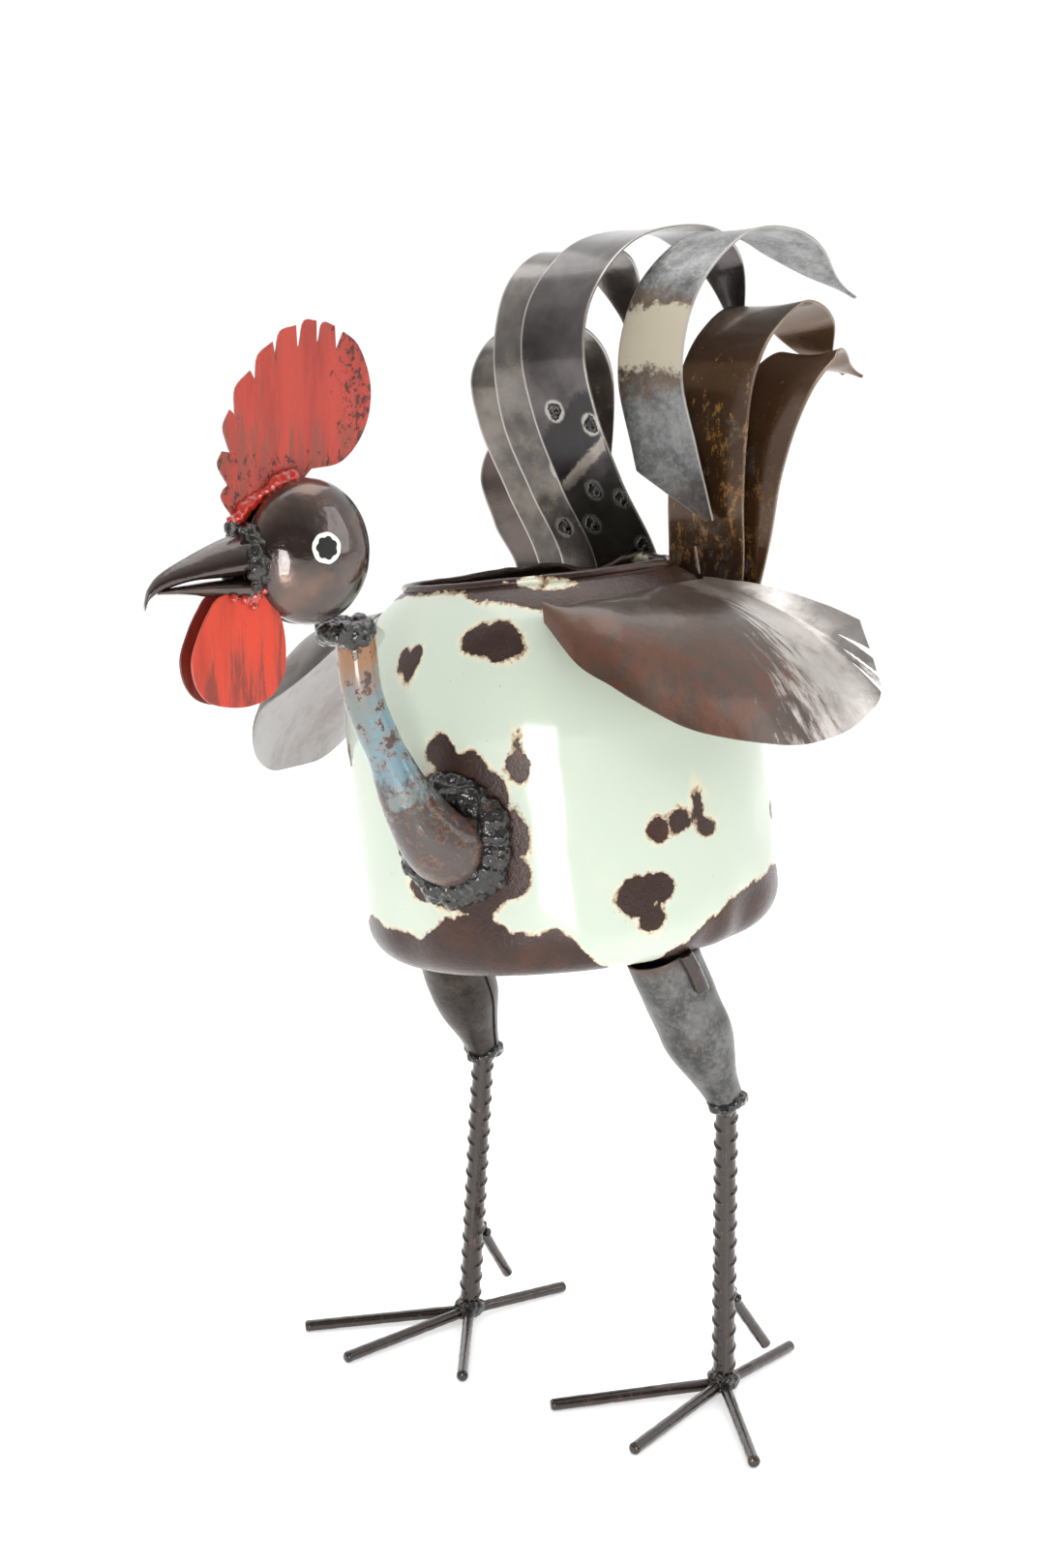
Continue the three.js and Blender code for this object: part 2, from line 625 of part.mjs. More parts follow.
// ---------------------------------------------------------------- tail
// Middle line of each strip: across, behind and above the mouth's centre, laid out for a pot of
// radius TAIL_POT_RADIUS. On a wider or narrower pot the points spread or close in with its wall.
const TAIL_POT_RADIUS = 115;
const mouth = vec(0, 0, POT_HEIGHT).applyMatrix4(pot.matrix);
const TAIL_STRIPS = [
  {
    name: "tail_strip_1",
    width: 44,
    finish: TAIL_STEEL,
    points: [
      [-62, 84, -38], [-66, 94, 0], [-79, 88, 30], [-88, 88, 56], [-90, 100, 72], [-91, 120, 72],
      [-92, 142, 50], [-93, 154, 14],
    ],
  },
  {
    name: "tail_strip_2",
    width: 44,
    finish: TAIL_STEEL,
    points: [
      [-39, 80, -34], [-43, 87, 0], [-57, 73, 46], [-66, 58, 84], [-68, 54, 112], [-67, 72, 134],
      [-66, 104, 139], [-66, 134, 118], [-66, 152, 84], [-67, 162, 44],
    ],
  },
  {
    name: "tail_strip_3",
    width: 45,
    finish: TAIL_STEEL,
    points: [
      [-20, 79, -30], [-22, 82, 4], [-33, 66, 45], [-41, 49, 85], [-42, 43, 126], [-42, 54, 160],
      [-40, 84, 182], [-39, 118, 177], [-38, 142, 150], [-38, 152, 108],
    ],
  },
  {
    name: "tail_strip_4",
    width: 44,
    finish: TAIL_STEEL,
    points: [
      [6, 79, -26], [4, 79, 4], [-5, 57, 47], [-12, 40, 88], [-15, 33, 120], [-14, 39, 150],
      [-10, 69, 181], [-4, 108, 194], [2, 144, 194], [8, 170, 178], [11, 182, 150], [12, 188, 118],
    ],
  },
  {
    name: "tail_strip_5",
    width: 43,
    finish: TAIL_STEEL,
    slantedFoot: true,
    points: [
      [46, 73, 24], [40, 64, 66], [35, 57, 105], [36, 61, 137], [40, 76, 164], [46, 110, 188],
      [53, 146, 191], [58, 174, 182], [63, 198, 170], [70, 222, 160],
    ],
  },
  {
    name: "tail_strip_6",
    width: 50,
    finish: RUSTY_STEEL,
    points: [
      [52, 80, -52], [56, 83, 0], [58, 79, 36], [60, 79, 76], [62, 84, 108], [65, 98, 131],
      [70, 126, 148], [77, 150, 138], [82, 162, 122], [87, 180, 112],
    ],
  },
  {
    name: "tail_strip_7",
    width: 46,
    finish: RUSTY_STEEL,
    points: [
      [56, 84, -64], [62, 90, -16], [72, 88, 18], [79, 87, 52], [86, 92, 82], [93, 104, 106],
      [100, 122, 119], [108, 138, 113], [116, 150, 108],
    ],
  },
];

function stripPath({ points }) {
  const spread = POT_RADIUS / TAIL_POT_RADIUS;
  return new THREE.CatmullRomCurve3(
    points.map(([x, y, z]) => vec(x * spread, y * spread, z).add(mouth)),
    false,
    "centripetal",
  );
}

// One bent strip; it runs to a point at its free end, and a slanted foot is cut off at an angle.
function tailStrip(strip, grow = 0) {
  const { width, slantedFoot = false } = strip;
  const curve = stripPath(strip);
  return sheet(
    (u, v) => {
      const t = THREE.MathUtils.clamp(v, 0, 1);
      const tangent = curve.getTangent(t);
      const across = vec(1, 0, 0).addScaledVector(tangent, -tangent.x).normalize();
      const tip = THREE.MathUtils.smoothstep(1 - t, 0, 0.28);
      const foot = slantedFoot ? THREE.MathUtils.clamp(0.12 + t / 0.1, 0, 1) : 1;
      const wide = (width * (0.05 + 0.95 * tip) + 2 * grow) * foot;
      const shift = slantedFoot ? (width * (1 - foot)) / 2 : 0;
      return curve.getPoint(t).addScaledVector(across, (u - 0.5) * wide + shift);
    },
    SHEET + 2 * grow,
    2,
    24,
  );
}
for (const strip of TAIL_STRIPS) add(bird, strip.name, cut(tailStrip(strip), potSpace), strip.finish);

// Where a strip's middle line comes out of the pot's surface.
function footOnPot(strip) {
  const toPot = pot.matrix.clone().invert();
  const curve = stripPath(strip);
  for (let t = 0; t < 1; t += 0.004) {
    const point = curve.getPoint(t);
    const seen = point.clone().applyMatrix4(toPot);
    if (Math.hypot(seen.x, seen.y) > potRadiusAt(seen.z) + GAP) return point;
  }
  return curve.getPoint(0);
}

// A bead behind some of the strips that holds their feet to the pot's shoulder.
const ROOT_BEAD = 4;
function tailRootWeld(standing) {
  const behind = vec(0, ROOT_BEAD + SHEET / 2 + 0.4, 0.5);
  const feet = standing.map((strip) => footOnPot(strip).add(behind));
  const reach = standing[0].width / 3;
  feet.unshift(feet[0].clone().add(vec(-reach, -2, -2)));
  feet.push(feet[feet.length - 1].clone().add(vec(reach, -2, -2)));
  const path = new THREE.CatmullRomCurve3(feet);
  const lumpy = (t) => ROOT_BEAD * (1 + 0.12 * Math.sin(25 * t));
  const inFront = TAIL_STRIPS.map((strip) => tailStrip(strip, 4).translate(0, GAP - 4, 0));
  return cut(swept(path, lumpy, 6, 14, vec(0, 0, 1)), potSpace, ...inFront);
}
add(bird, "tail_root_weld", tailRootWeld(TAIL_STRIPS.slice(0, 4)), WELD);
add(bird, "tail_side_weld", tailRootWeld(TAIL_STRIPS.slice(5)), WELD);

// ---------------------------------------------------------------- legs
// A ribbed reinforcing bar between two points.
function rebar(from, to) {
  const length = from.distanceTo(to);
  const profile = [new THREE.Vector2(0, 0), new THREE.Vector2(REBAR_RADIUS, 0)];
  for (let h = RIB_PITCH / 2; h < length - RIB_PITCH / 2; h += RIB_PITCH) {
    profile.push(new THREE.Vector2(REBAR_RADIUS, h - 1.6));
    profile.push(new THREE.Vector2(REBAR_RADIUS + REBAR_RIB, h - 0.5));
    profile.push(new THREE.Vector2(REBAR_RADIUS + REBAR_RIB, h + 0.5));
    profile.push(new THREE.Vector2(REBAR_RADIUS, h + 1.6));
  }
  profile.push(new THREE.Vector2(REBAR_RADIUS, length), new THREE.Vector2(0, length));
  const bar = new THREE.LatheGeometry(profile, 8);
  const aim = new THREE.Quaternion().setFromUnitVectors(vec(0, 1, 0), to.clone().sub(from).normalize());
  return bar.applyQuaternion(aim).translate(from.x, from.y, from.z);
}

const THIGH_TAPER_FROM = 0.5; // share of the thigh's length where it starts to narrow

function thighRadius(t) {
  const taper = THREE.MathUtils.smoothstep(t, THIGH_TAPER_FROM, 1);
  return THIGH_TOP_RADIUS + (THIGH_KNEE_RADIUS - THIGH_TOP_RADIUS) * taper;
}

// The thigh's outer shape from hip to knee, grown by `out` and run past both ends by `past` mm.
function thighShape(hip, knee, out, past = 0) {
  const length = hip.distanceTo(knee);
  const way = knee.clone().sub(hip).normalize();
  const path = line(hip.clone().addScaledVector(way, -past), knee.clone().addScaledVector(way, past));
  const share = (t) => (t * (length + 2 * past) - past) / length;
  return swept(path, (t) => thighRadius(share(t)) + out, 12, 7);
}

const REBAR_SPACE = REBAR_RADIUS + REBAR_RIB + GAP;
const TOES = {
  left: { outer: 41.7, middle: 4.9, inner: -36.5, back: 180.4 },
  right: { outer: -38.8, middle: -6, inner: 36.9, back: 165.1 },
};
const KNEE_LEAN = { left: vec(-1, 1, 0), right: vec(6, 7, 0) }; // the knee's place over the foot

for (const [name, side] of [["left", 1], ["right", -1]]) {
  const foot = vec((side * STANCE) / 2, FOOT_BACK, 0);
  const knee = foot.clone().add(KNEE_LEAN[name]).setZ(KNEE_HEIGHT);
  const hip = vec(side * (STANCE / 2 - HIP_INSET), FOOT_BACK - HIP_FORWARD, POT_FLOOR + 6);
  const shankFoot = foot.clone().setZ(HUB_HEIGHT + GAP + 0.4);
  const shankTop = knee.clone().setZ(KNEE_HEIGHT + 5);
  const shankSpace = rod(shankFoot, shankTop.clone().setZ(KNEE_HEIGHT + 9), REBAR_SPACE + 0.2, 12);

  const thighInside = thighShape(hip, knee, -THIGH_WALL, 6);
  add(bird, `thigh_${name}`, cut(thighShape(hip, knee, 0), thighInside, potSpace, shankSpace), GALVANISED);

  const thighWay = knee.clone().sub(hip).normalize();
  const thighSpace = thighShape(hip, knee, GAP);
  const strutTop = hip.clone().add(vec(side * STRUT_OUT, -STRUT_FORWARD, 4));
  const strutFoot = strutTop.clone().addScaledVector(thighWay, STRUT_LENGTH);
  const strut = cut(rod(strutTop, strutFoot, TOE_RADIUS + 0.6, 9), potSpace, thighSpace);
  add(bird, `hip_strut_${name}`, strut, LACQUERED_ROD);

  const kneeWeld = weldLump(13, 13, 9.5).translate(knee.x, knee.y, knee.z);
  add(bird, `knee_weld_${name}`, cut(kneeWeld, thighSpace, shankSpace), WELD);
  add(bird, `shank_${name}`, rebar(shankFoot, shankTop), LACQUERED_ROD);

  const hub = new THREE.CylinderGeometry(HUB_RADIUS * 0.8, HUB_RADIUS, HUB_HEIGHT, 14);
  hub.rotateX(Math.PI / 2).translate(foot.x, foot.y, HUB_HEIGHT / 2);
  add(bird, `foot_weld_${name}`, hub, WELD);

  for (const [toe, angle] of Object.entries(TOES[name])) {
    const way = vec(Math.sin(deg(angle)), -Math.cos(deg(angle)), 0);
    const length = toe === "back" ? BACK_TOE_LENGTH : TOE_LENGTH;
    const from = foot.clone().addScaledVector(way, HUB_RADIUS + GAP + 0.2).setZ(TOE_RADIUS + 1.5);
    const to = foot.clone().addScaledVector(way, length).setZ(TOE_RADIUS);
    add(bird, `toe_${toe}_${name}`, rod(from, to, TOE_RADIUS, 9), LACQUERED_ROD);
  }

  const spurRoot = foot.clone().lerp(knee, SPUR_UP / KNEE_HEIGHT);
  const spurFrom = spurRoot.clone().add(vec(0, REBAR_SPACE + TOE_RADIUS + 0.2, 0));
  const spurTo = spurRoot.clone().add(vec(side * 4, SPUR_BACK, -SPUR_DROP));
  add(bird, `spur_${name}`, rod(spurFrom, spurTo, TOE_RADIUS, 9), LACQUERED_ROD);
}

// The frame's origin is under the middle of the whole bird, on the ground.
bird.updateMatrixWorld(true);
const bounds = new THREE.Box3().setFromObject(bird);
const middle = bounds.getCenter(new THREE.Vector3());
const part = new THREE.Group();
bird.position.set(-middle.x, -middle.y, -bounds.min.z);
part.add(bird);

export default part;
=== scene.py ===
"""Scrap-metal rooster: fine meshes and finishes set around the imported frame."""
import math

import bmesh
import bpy
from bpy.props import FloatProperty, FloatVectorProperty, PointerProperty
from mathutils import Euler, Matrix, Vector, noise


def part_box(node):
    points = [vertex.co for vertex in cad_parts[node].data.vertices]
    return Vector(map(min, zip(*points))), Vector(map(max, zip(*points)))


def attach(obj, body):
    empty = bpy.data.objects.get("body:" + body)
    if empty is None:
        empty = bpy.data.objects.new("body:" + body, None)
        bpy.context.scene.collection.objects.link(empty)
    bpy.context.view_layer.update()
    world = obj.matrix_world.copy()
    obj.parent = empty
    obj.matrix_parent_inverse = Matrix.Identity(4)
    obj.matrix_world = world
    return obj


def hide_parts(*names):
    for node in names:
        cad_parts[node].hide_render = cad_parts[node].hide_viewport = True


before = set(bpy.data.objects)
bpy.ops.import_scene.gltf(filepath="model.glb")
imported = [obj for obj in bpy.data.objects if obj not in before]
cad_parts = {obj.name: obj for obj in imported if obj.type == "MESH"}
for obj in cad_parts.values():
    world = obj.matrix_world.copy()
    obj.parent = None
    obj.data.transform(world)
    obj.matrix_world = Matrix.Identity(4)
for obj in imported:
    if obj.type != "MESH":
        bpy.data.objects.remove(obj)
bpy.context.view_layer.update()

bl_info = {
    "name": "Scrap Metal Rooster",
    "version": (1, 0, 0),
    "blender": (4, 5, 0),
    "location": "View3D > Sidebar > Rooster",
    "description": "Builds a garden rooster from an enamel pot, sheet steel and reinforcing bar",
    "category": "Add Mesh",
}

MM = 0.001
SIDES = {"left": 1, "right": -1}


def mm(x, y, z):
    return Vector((x, y, z)) * MM


# ---------------------------------------------------------------- places taken from the frame
def middle_of(node):
    low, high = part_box(node)
    return (low + high) / 2


FOOT = {name: middle_of(f"foot_weld_{name}") for name in SIDES}
FOOT_BACK = 15 * MM  # feet behind the pot's middle
BETWEEN_FEET = (FOOT["left"] + FOOT["right"]) / 2
BIRD = Matrix.Translation((BETWEEN_FEET.x, BETWEEN_FEET.y - FOOT_BACK, 0))

# ---------------------------------------------------------------- pot, as it was turned
POT_RADIUS = 115 * MM
POT_HEIGHT = 205 * MM
POT_FLOOR = 249 * MM
POT_WALL = 1.6 * MM
POT_CORNER = 22 * MM
SHOULDER_HEIGHT = 80 * MM
MOUTH_RADIUS = 75 * MM
RIM_BEAD = 2.4 * MM
RIM_COLLAR = 5 * MM
POT_PITCH = math.radians(4.24)
POT_ROLL = math.radians(-4.65)
POT = (
    BIRD
    @ Matrix.Translation((0, 0, POT_FLOOR))
    @ Matrix.Rotation(POT_ROLL, 4, "Y")
    @ Matrix.Rotation(POT_PITCH, 4, "X")
)
TO_POT = POT.inverted()
MOUTH = POT @ Vector((0, 0, POT_HEIGHT))


# ---------------------------------------------------------------- small sums
def blend(a, b, share):
    return a + (b - a) * share


def clamp(value, low=0.0, high=1.0):
    return max(low, min(high, value))


def ease(value, low, high):
    share = clamp((value - low) / (high - low))
    return share * share * (3 - 2 * share)


def rough(point, size, seed=0.0):
    """Smooth random height from -1 to 1 that changes over `size` metres."""
    return noise.noise(point / size + Vector((seed * 7.3, seed * 3.1, seed * 5.7)))


def table(points, at):
    """Straight-line reading of (place, value) points sorted by place."""
    if at <= points[0][0]:
        return points[0][1]
    for (x0, y0), (x1, y1) in zip(points, points[1:]):
        if at <= x1:
            return blend(y0, y1, (at - x0) / (x1 - x0))
    return points[-1][1]


def curve_between(p0, p1, p2, p3, share):
    """Centripetal Catmull-Rom point between p1 and p2."""
    first = max((p1 - p0).length ** 0.5, 1e-5)
    middle = max((p2 - p1).length ** 0.5, 1e-5)
    last = max((p3 - p2).length ** 0.5, 1e-5)
    start = ((p1 - p0) / first - (p2 - p0) / (first + middle) + (p2 - p1) / middle) * middle
    end = ((p2 - p1) / middle - (p3 - p1) / (middle + last) + (p3 - p2) / last) * middle
    cubic = 2 * p1 - 2 * p2 + start + end
    square = 3 * p2 - 3 * p1 - 2 * start - end
    return p1 + share * (start + share * (square + share * cubic))


class Path:
    """A smooth line through given points."""

    def __init__(self, points):
        first = 2 * points[0] - points[1]
        last = 2 * points[-1] - points[-2]
        self.points = [first, *points, last]

    def at(self, share):
        spans = len(self.points) - 3
        place = clamp(share) * spans
        span = min(int(place), spans - 1)
        return curve_between(*self.points[span : span + 4], place - span)

    def direction(self, share):
        step = 1e-3
        return (self.at(share + step) - self.at(share - step)).normalized()


# ---------------------------------------------------------------- meshes
def grid_faces(rows, columns, wrap=False):
    faces = []
    for row in range(rows - 1):
        for column in range(columns if wrap else columns - 1):
            beside = (column + 1) % columns
            low, high = row * columns, (row + 1) * columns
            faces.append((low + column, low + beside, high + beside, high + column))
    return faces


def capped(faces, rows, columns):
    """Adds a flat face over each end of a wrapped grid."""
    faces.append(tuple(reversed(range(columns))))
    faces.append(tuple(range((rows - 1) * columns, rows * columns)))
    return faces


def outward(mesh):
    work = bmesh.new()
    work.from_mesh(mesh)
    bmesh.ops.recalc_face_normals(work, faces=work.faces)
    work.to_mesh(mesh)
    work.free()


def place_on_bird(piece, material, slot, *nodes):
    """Gives a finished object its material and its body, and hides the CAD nodes it stands for."""
    piece.data.materials.clear()
    piece.data.materials.append(material)
    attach(piece, "root")
    if nodes:
        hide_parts(*nodes)
    return piece


def make(name, vertices, faces, flow=None, fields=None):
    """A smooth mesh object; `flow` is a place on the sheet per vertex, `fields` are named numbers."""
    mesh = bpy.data.meshes.new(name)
    mesh.from_pydata([tuple(v) for v in vertices], [], faces)
    outward(mesh)
    if flow:
        layer = mesh.uv_layers.new(name="Flow")
        for loop in mesh.loops:
            layer.data[loop.index].uv = flow[loop.vertex_index]
    for field, values in (fields or {}).items():
        mesh.attributes.new(field, "FLOAT", "POINT").data.foreach_set("value", values)
    mesh.shade_smooth()
    piece = bpy.data.objects.new(name, mesh)
    bpy.context.scene.collection.objects.link(piece)
    return piece


def thicken(piece, thickness, offset=0.0, edge=0.3):
    """Gives a single skin its thickness and slightly rounded edges."""
    wall = piece.modifiers.new("Thickness", "SOLIDIFY")
    wall.thickness = thickness
    wall.offset = offset
    rounding = piece.modifiers.new("Edges", "BEVEL")
    rounding.width = thickness * edge
    rounding.segments = 2
    rounding.limit_method = "ANGLE"
    rounding.angle_limit = math.radians(50)
    return piece


def settle(piece):
    """Applies the piece's modifiers to its mesh."""
    view = bpy.context.evaluated_depsgraph_get()
    mesh = bpy.data.meshes.new_from_object(piece.evaluated_get(view))
    piece.modifiers.clear()
    piece.data = mesh
    return piece


def sheet(name, place, across, along, fields=None):
    """A skin over the surface place(u, v); Flow is u and v."""
    shares = [(c / across, r / along) for r in range(along + 1) for c in range(across + 1)]
    vertices = [place(u, v) for u, v in shares]
    values = {key: [rule(u, v) for u, v in shares] for key, rule in (fields or {}).items()}
    return make(name, vertices, grid_faces(along + 1, across + 1), shares, values)


def tube(name, path, radius, around, along, side=Vector((1, 0, 0)), caps=True):
    """A bar that follows `path`; radius(angle, share) is measured from its middle line."""
    vertices, flow = [], []
    for row in range(along + 1):
        share = row / along
        way = path.direction(share)
        across = (side - way * side.dot(way)).normalized()
        up = way.cross(across)
        for column in range(around):
            angle = 2 * math.pi * column / around
            out = across * math.cos(angle) + up * math.sin(angle)
            vertices.append(path.at(share) + out * radius(angle, share))
            flow.append((column / around, share))
    faces = grid_faces(along + 1, around, wrap=True)
    return make(name, vertices, capped(faces, along + 1, around) if caps else faces, flow)


def lumps(name, balls, voxel=0.7 * MM, pitting=0.35 * MM, seed=1.0):
    """Weld metal: overlapping balls (middle, half sizes) fused together and pitted."""
    work = bmesh.new()
    for middle, half in balls:
        ball = bmesh.ops.create_icosphere(work, subdivisions=3, radius=1.0)["verts"]
        for v in ball:
            v.co = middle + Vector((v.co.x * half.x, v.co.y * half.y, v.co.z * half.z))
    mesh = bpy.data.meshes.new(name)
    work.to_mesh(mesh)
    work.free()
    piece = bpy.data.objects.new(name, mesh)
    bpy.context.scene.collection.objects.link(piece)
    fuse = piece.modifiers.new("Fuse", "REMESH")
    fuse.mode = "VOXEL"
    fuse.voxel_size = voxel
    relax = piece.modifiers.new("Relax", "SMOOTH")
    relax.iterations = 2
    settle(piece)
    for v in piece.data.vertices:
        lift = rough(v.co, 3 * MM, seed) + 0.6 * rough(v.co, 1.3 * MM, seed + 1)
        v.co += v.normal * lift * pitting
    piece.data.shade_smooth()
    return piece


def ball(point, radius, squash=1.0):
    return point, Vector((radius, radius, radius * squash))


def cut_away(piece, cutters):
    """Cuts closed meshes out of a piece, and removes them."""
    for cutter in cutters:
        saw = piece.modifiers.new("Cut", "BOOLEAN")
        saw.operation = "DIFFERENCE"
        saw.solver = "EXACT"
        saw.object = cutter
    settle(piece)
    for cutter in cutters:
        bpy.data.objects.remove(cutter)
    return piece


# ---------------------------------------------------------------- finishes
class Recipe:
    """One material's nodes, from pattern to shader."""

    def __init__(self, name, **sockets):
        self.material = bpy.data.materials.new(name)
        self.material.use_nodes = True
        self.tree = self.material.node_tree
        self.shader = self.tree.nodes["Principled BSDF"]
        for socket, value in sockets.items():
            self.shader.inputs[socket.replace("_", " ")].default_value = value
        self.object_place = self.tree.nodes.new("ShaderNodeTexCoord").outputs["Object"]

    def feed(self, socket, value):
        if isinstance(value, bpy.types.NodeSocket):
            self.tree.links.new(value, socket)
        elif socket.type == "RGBA":
            socket.default_value = (*value, 1.0)
        else:
            socket.default_value = value

    def node(self, kind, inputs, output=0, **settings):
        made = self.tree.nodes.new("ShaderNode" + kind)
        for key, value in settings.items():
            setattr(made, key, value)
        for key, value in inputs.items():
            self.feed(made.inputs[key], value)
        return made.outputs[output]

    def noise(self, size, detail=4.0, roughness=0.55, stretch=(1, 1, 1), at=None, shift=0.0):
        """Cloudy pattern from 0 to 1 with features about `size` metres across."""
        scaled = [s / size for s in stretch]
        place = self.node(
            "Mapping",
            {"Vector": at or self.object_place, "Scale": scaled, "Location": (shift, shift, shift)},
        )
        return self.node(
            "TexNoise", {"Vector": place, "Scale": 1.0, "Detail": detail, "Roughness": roughness}
        )

    def cells(self, size, stretch=(1, 1, 1), at=None):
        """Distance to scattered points `size` metres apart."""
        scaled = [s / size for s in stretch]
        place = self.node("Mapping", {"Vector": at or self.object_place, "Scale": scaled})
        return self.node("TexVoronoi", {"Vector": place, "Scale": 1.0})

    def flow(self):
        return self.node("UVMap", {}, uv_map="Flow")

    def pale_edges(self, color, pale):
        """The same colour with bright bare metal along a strip's two cut edges."""
        off_middle = self.sum("ABSOLUTE", self.add(self.flow_parts()[0], -0.5))
        return self.mix(self.times(self.step(off_middle, 0.462, 0.492), 0.75), color, pale)

    def flow_parts(self):
        split = self.tree.nodes.new("ShaderNodeSeparateXYZ")
        self.feed(split.inputs[0], self.flow())
        return split.outputs[0], split.outputs[1]

    def field(self, name):
        return self.node("Attribute", {}, output="Fac", attribute_name=name)

    def sum(self, operation, a, b=0.0, c=0.0):
        return self.node("Math", {0: a, 1: b, 2: c}, operation=operation)

    def add(self, a, b):
        return self.sum("ADD", a, b)

    def times(self, a, b):
        return self.sum("MULTIPLY", a, b)

    def both(self, a, b):
        return self.sum("MULTIPLY", a, b)

    def either(self, a, b):
        return self.sum("MAXIMUM", a, b)

    def step(self, value, low, high):
        """0 below `low`, 1 above `high`, and the other way round when low > high."""
        return self.node(
            "MapRange",
            {"Value": value, "From Min": low, "From Max": high},
            interpolation_type="SMOOTHSTEP",
        )

    def mix(self, share, a, b):
        made = self.tree.nodes.new("ShaderNodeMix")
        made.data_type = "RGBA"
        for key, value in ((0, share), (6, a), (7, b)):
            self.feed(made.inputs[key], value)
        return made.outputs[2]

    def blend(self, share, a, b):
        made = self.tree.nodes.new("ShaderNodeMix")
        for key, value in ((0, share), (2, a), (3, b)):
            self.feed(made.inputs[key], value)
        return made.outputs[0]

    def bump(self, height, depth, under=None):
        """Relief `depth` metres deep."""
        inputs = {"Height": height, "Distance": depth, "Strength": 1.0}
        if under:
            inputs["Normal"] = under
        return self.node("Bump", inputs)

    def finish(self, color, roughness=None, metallic=None, normal=None):
        for key, value in (
            ("Base Color", color),
            ("Roughness", roughness),
            ("Metallic", metallic),
            ("Normal", normal),
        ):
            if value is not None:
                self.feed(self.shader.inputs[key], value)
        return self.material


def mint_enamel(settings):
    """Glossy enamel with chips down to lacquered brown steel, cream round each chip, and specks."""
    r = Recipe("Mint_enamel", IOR=1.5)
    ragged = r.add(
        r.times(r.add(r.noise(11 * MM, 3), -0.5), 9 * MM),
        r.times(r.add(r.noise(2.6 * MM, 5, 0.75), -0.5), 3.6 * MM),
    )
    edge = r.add(r.field("chip"), ragged)
    bare = r.step(edge, 0.25 * MM, -0.25 * MM)
    halo = r.step(r.add(edge, r.times(r.noise(17 * MM, 4, 0.7), -11 * MM)), -2.0 * MM, -6.0 * MM)
    rusty = r.step(r.add(edge, r.times(r.noise(3 * MM, 5, 0.8), -6.5 * MM)), -1.6 * MM, -3.4 * MM)
    near = r.step(edge, 40 * MM, 4 * MM)
    speck_field = r.noise(2.6 * MM, 3, 0.75)
    specks = r.step(r.add(speck_field, r.times(near, 0.035)), 0.735, 0.78)
    fine_specks = r.step(r.noise(0.9 * MM, 2, 0.5), 0.73, 0.80)
    stains = r.step(r.noise(38 * MM, 5, 0.7), 0.52, 0.78)
    mint = r.mix(r.noise(60 * MM, 3), settings.enamel, [c * 1.04 for c in settings.enamel])
    aged = r.mix(r.times(stains, 0.30), mint, settings.halo)
    haloed = r.mix(r.times(halo, 0.7), aged, settings.halo)
    ringed = r.mix(r.times(rusty, 0.8), haloed, (0.30, 0.13, 0.045))
    dotted = r.mix(r.times(specks, 0.75), ringed, (0.16, 0.09, 0.05))
    peppered = r.mix(r.times(fine_specks, 0.35), dotted, (0.35, 0.27, 0.2))
    brown = r.mix(r.noise(16 * MM, 5, 0.7), settings.bare, [c * 2.3 for c in settings.bare])
    warm = r.mix(r.step(r.noise(30 * MM, 3), 0.5, 0.75), brown, (0.07, 0.026, 0.014))
    color = r.mix(bare, peppered, warm)
    shine = r.blend(bare, r.blend(stains, 0.10, 0.16), r.blend(r.noise(7 * MM, 4), 0.16, 0.34))
    level = r.add(r.times(bare, -1.0), r.times(r.noise(2.5 * MM, 4, 0.7), r.times(bare, 0.9)))
    orange_peel = r.bump(r.noise(24 * MM, 2), 0.22 * MM)
    relief = r.bump(level, 0.45 * MM, orange_peel)
    return r.finish(color, shine, r.times(bare, 0.25), relief)


def blue_enamel(settings):
    """Speckled blue spout enamel, rust-brown where it was heated at both ends."""
    r = Recipe("Blue_enamel", IOR=1.5, Coat_Weight=0.5, Coat_Roughness=0.06)
    along = r.flow_parts()[1]
    blotch = r.noise(15 * MM, 5, 0.7)
    root = r.step(r.add(along, r.times(blotch, -1.1)), 0.02, -0.16)
    tip = r.step(r.add(along, r.times(blotch, 0.3)), 0.92, 1.08)
    spots = r.step(r.noise(7.5 * MM, 4, 0.65, shift=4.0), 0.57, 0.63)
    dots = r.step(r.noise(1.7 * MM, 3, 0.7), 0.64, 0.72)
    grey = r.step(r.noise(26 * MM, 4), 0.38, 0.62)
    blue = r.mix(grey, settings.enamel, (0.17, 0.20, 0.19))
    dotted = r.mix(r.times(dots, 0.75), blue, (0.10, 0.10, 0.10))
    scorched = r.mix(r.times(root, 0.92), dotted, (0.055, 0.026, 0.017))
    toasted = r.mix(r.times(tip, 0.85), scorched, (0.30, 0.12, 0.03))
    ring = r.step(r.noise(7.5 * MM, 4, 0.65, shift=4.0), 0.52, 0.59)
    amber = r.mix(r.times(ring, 0.5), toasted, (0.26, 0.13, 0.06))
    color = r.mix(spots, amber, (0.06, 0.026, 0.02))
    rough_patch = r.either(root, spots)
    shine = r.blend(rough_patch, 0.12, 0.3)
    relief = r.bump(r.times(r.noise(2.4 * MM, 5, 0.75), rough_patch), 0.7 * MM)
    return r.finish(color, shine, 0.0, r.bump(r.noise(20 * MM, 2), 0.25 * MM, relief))


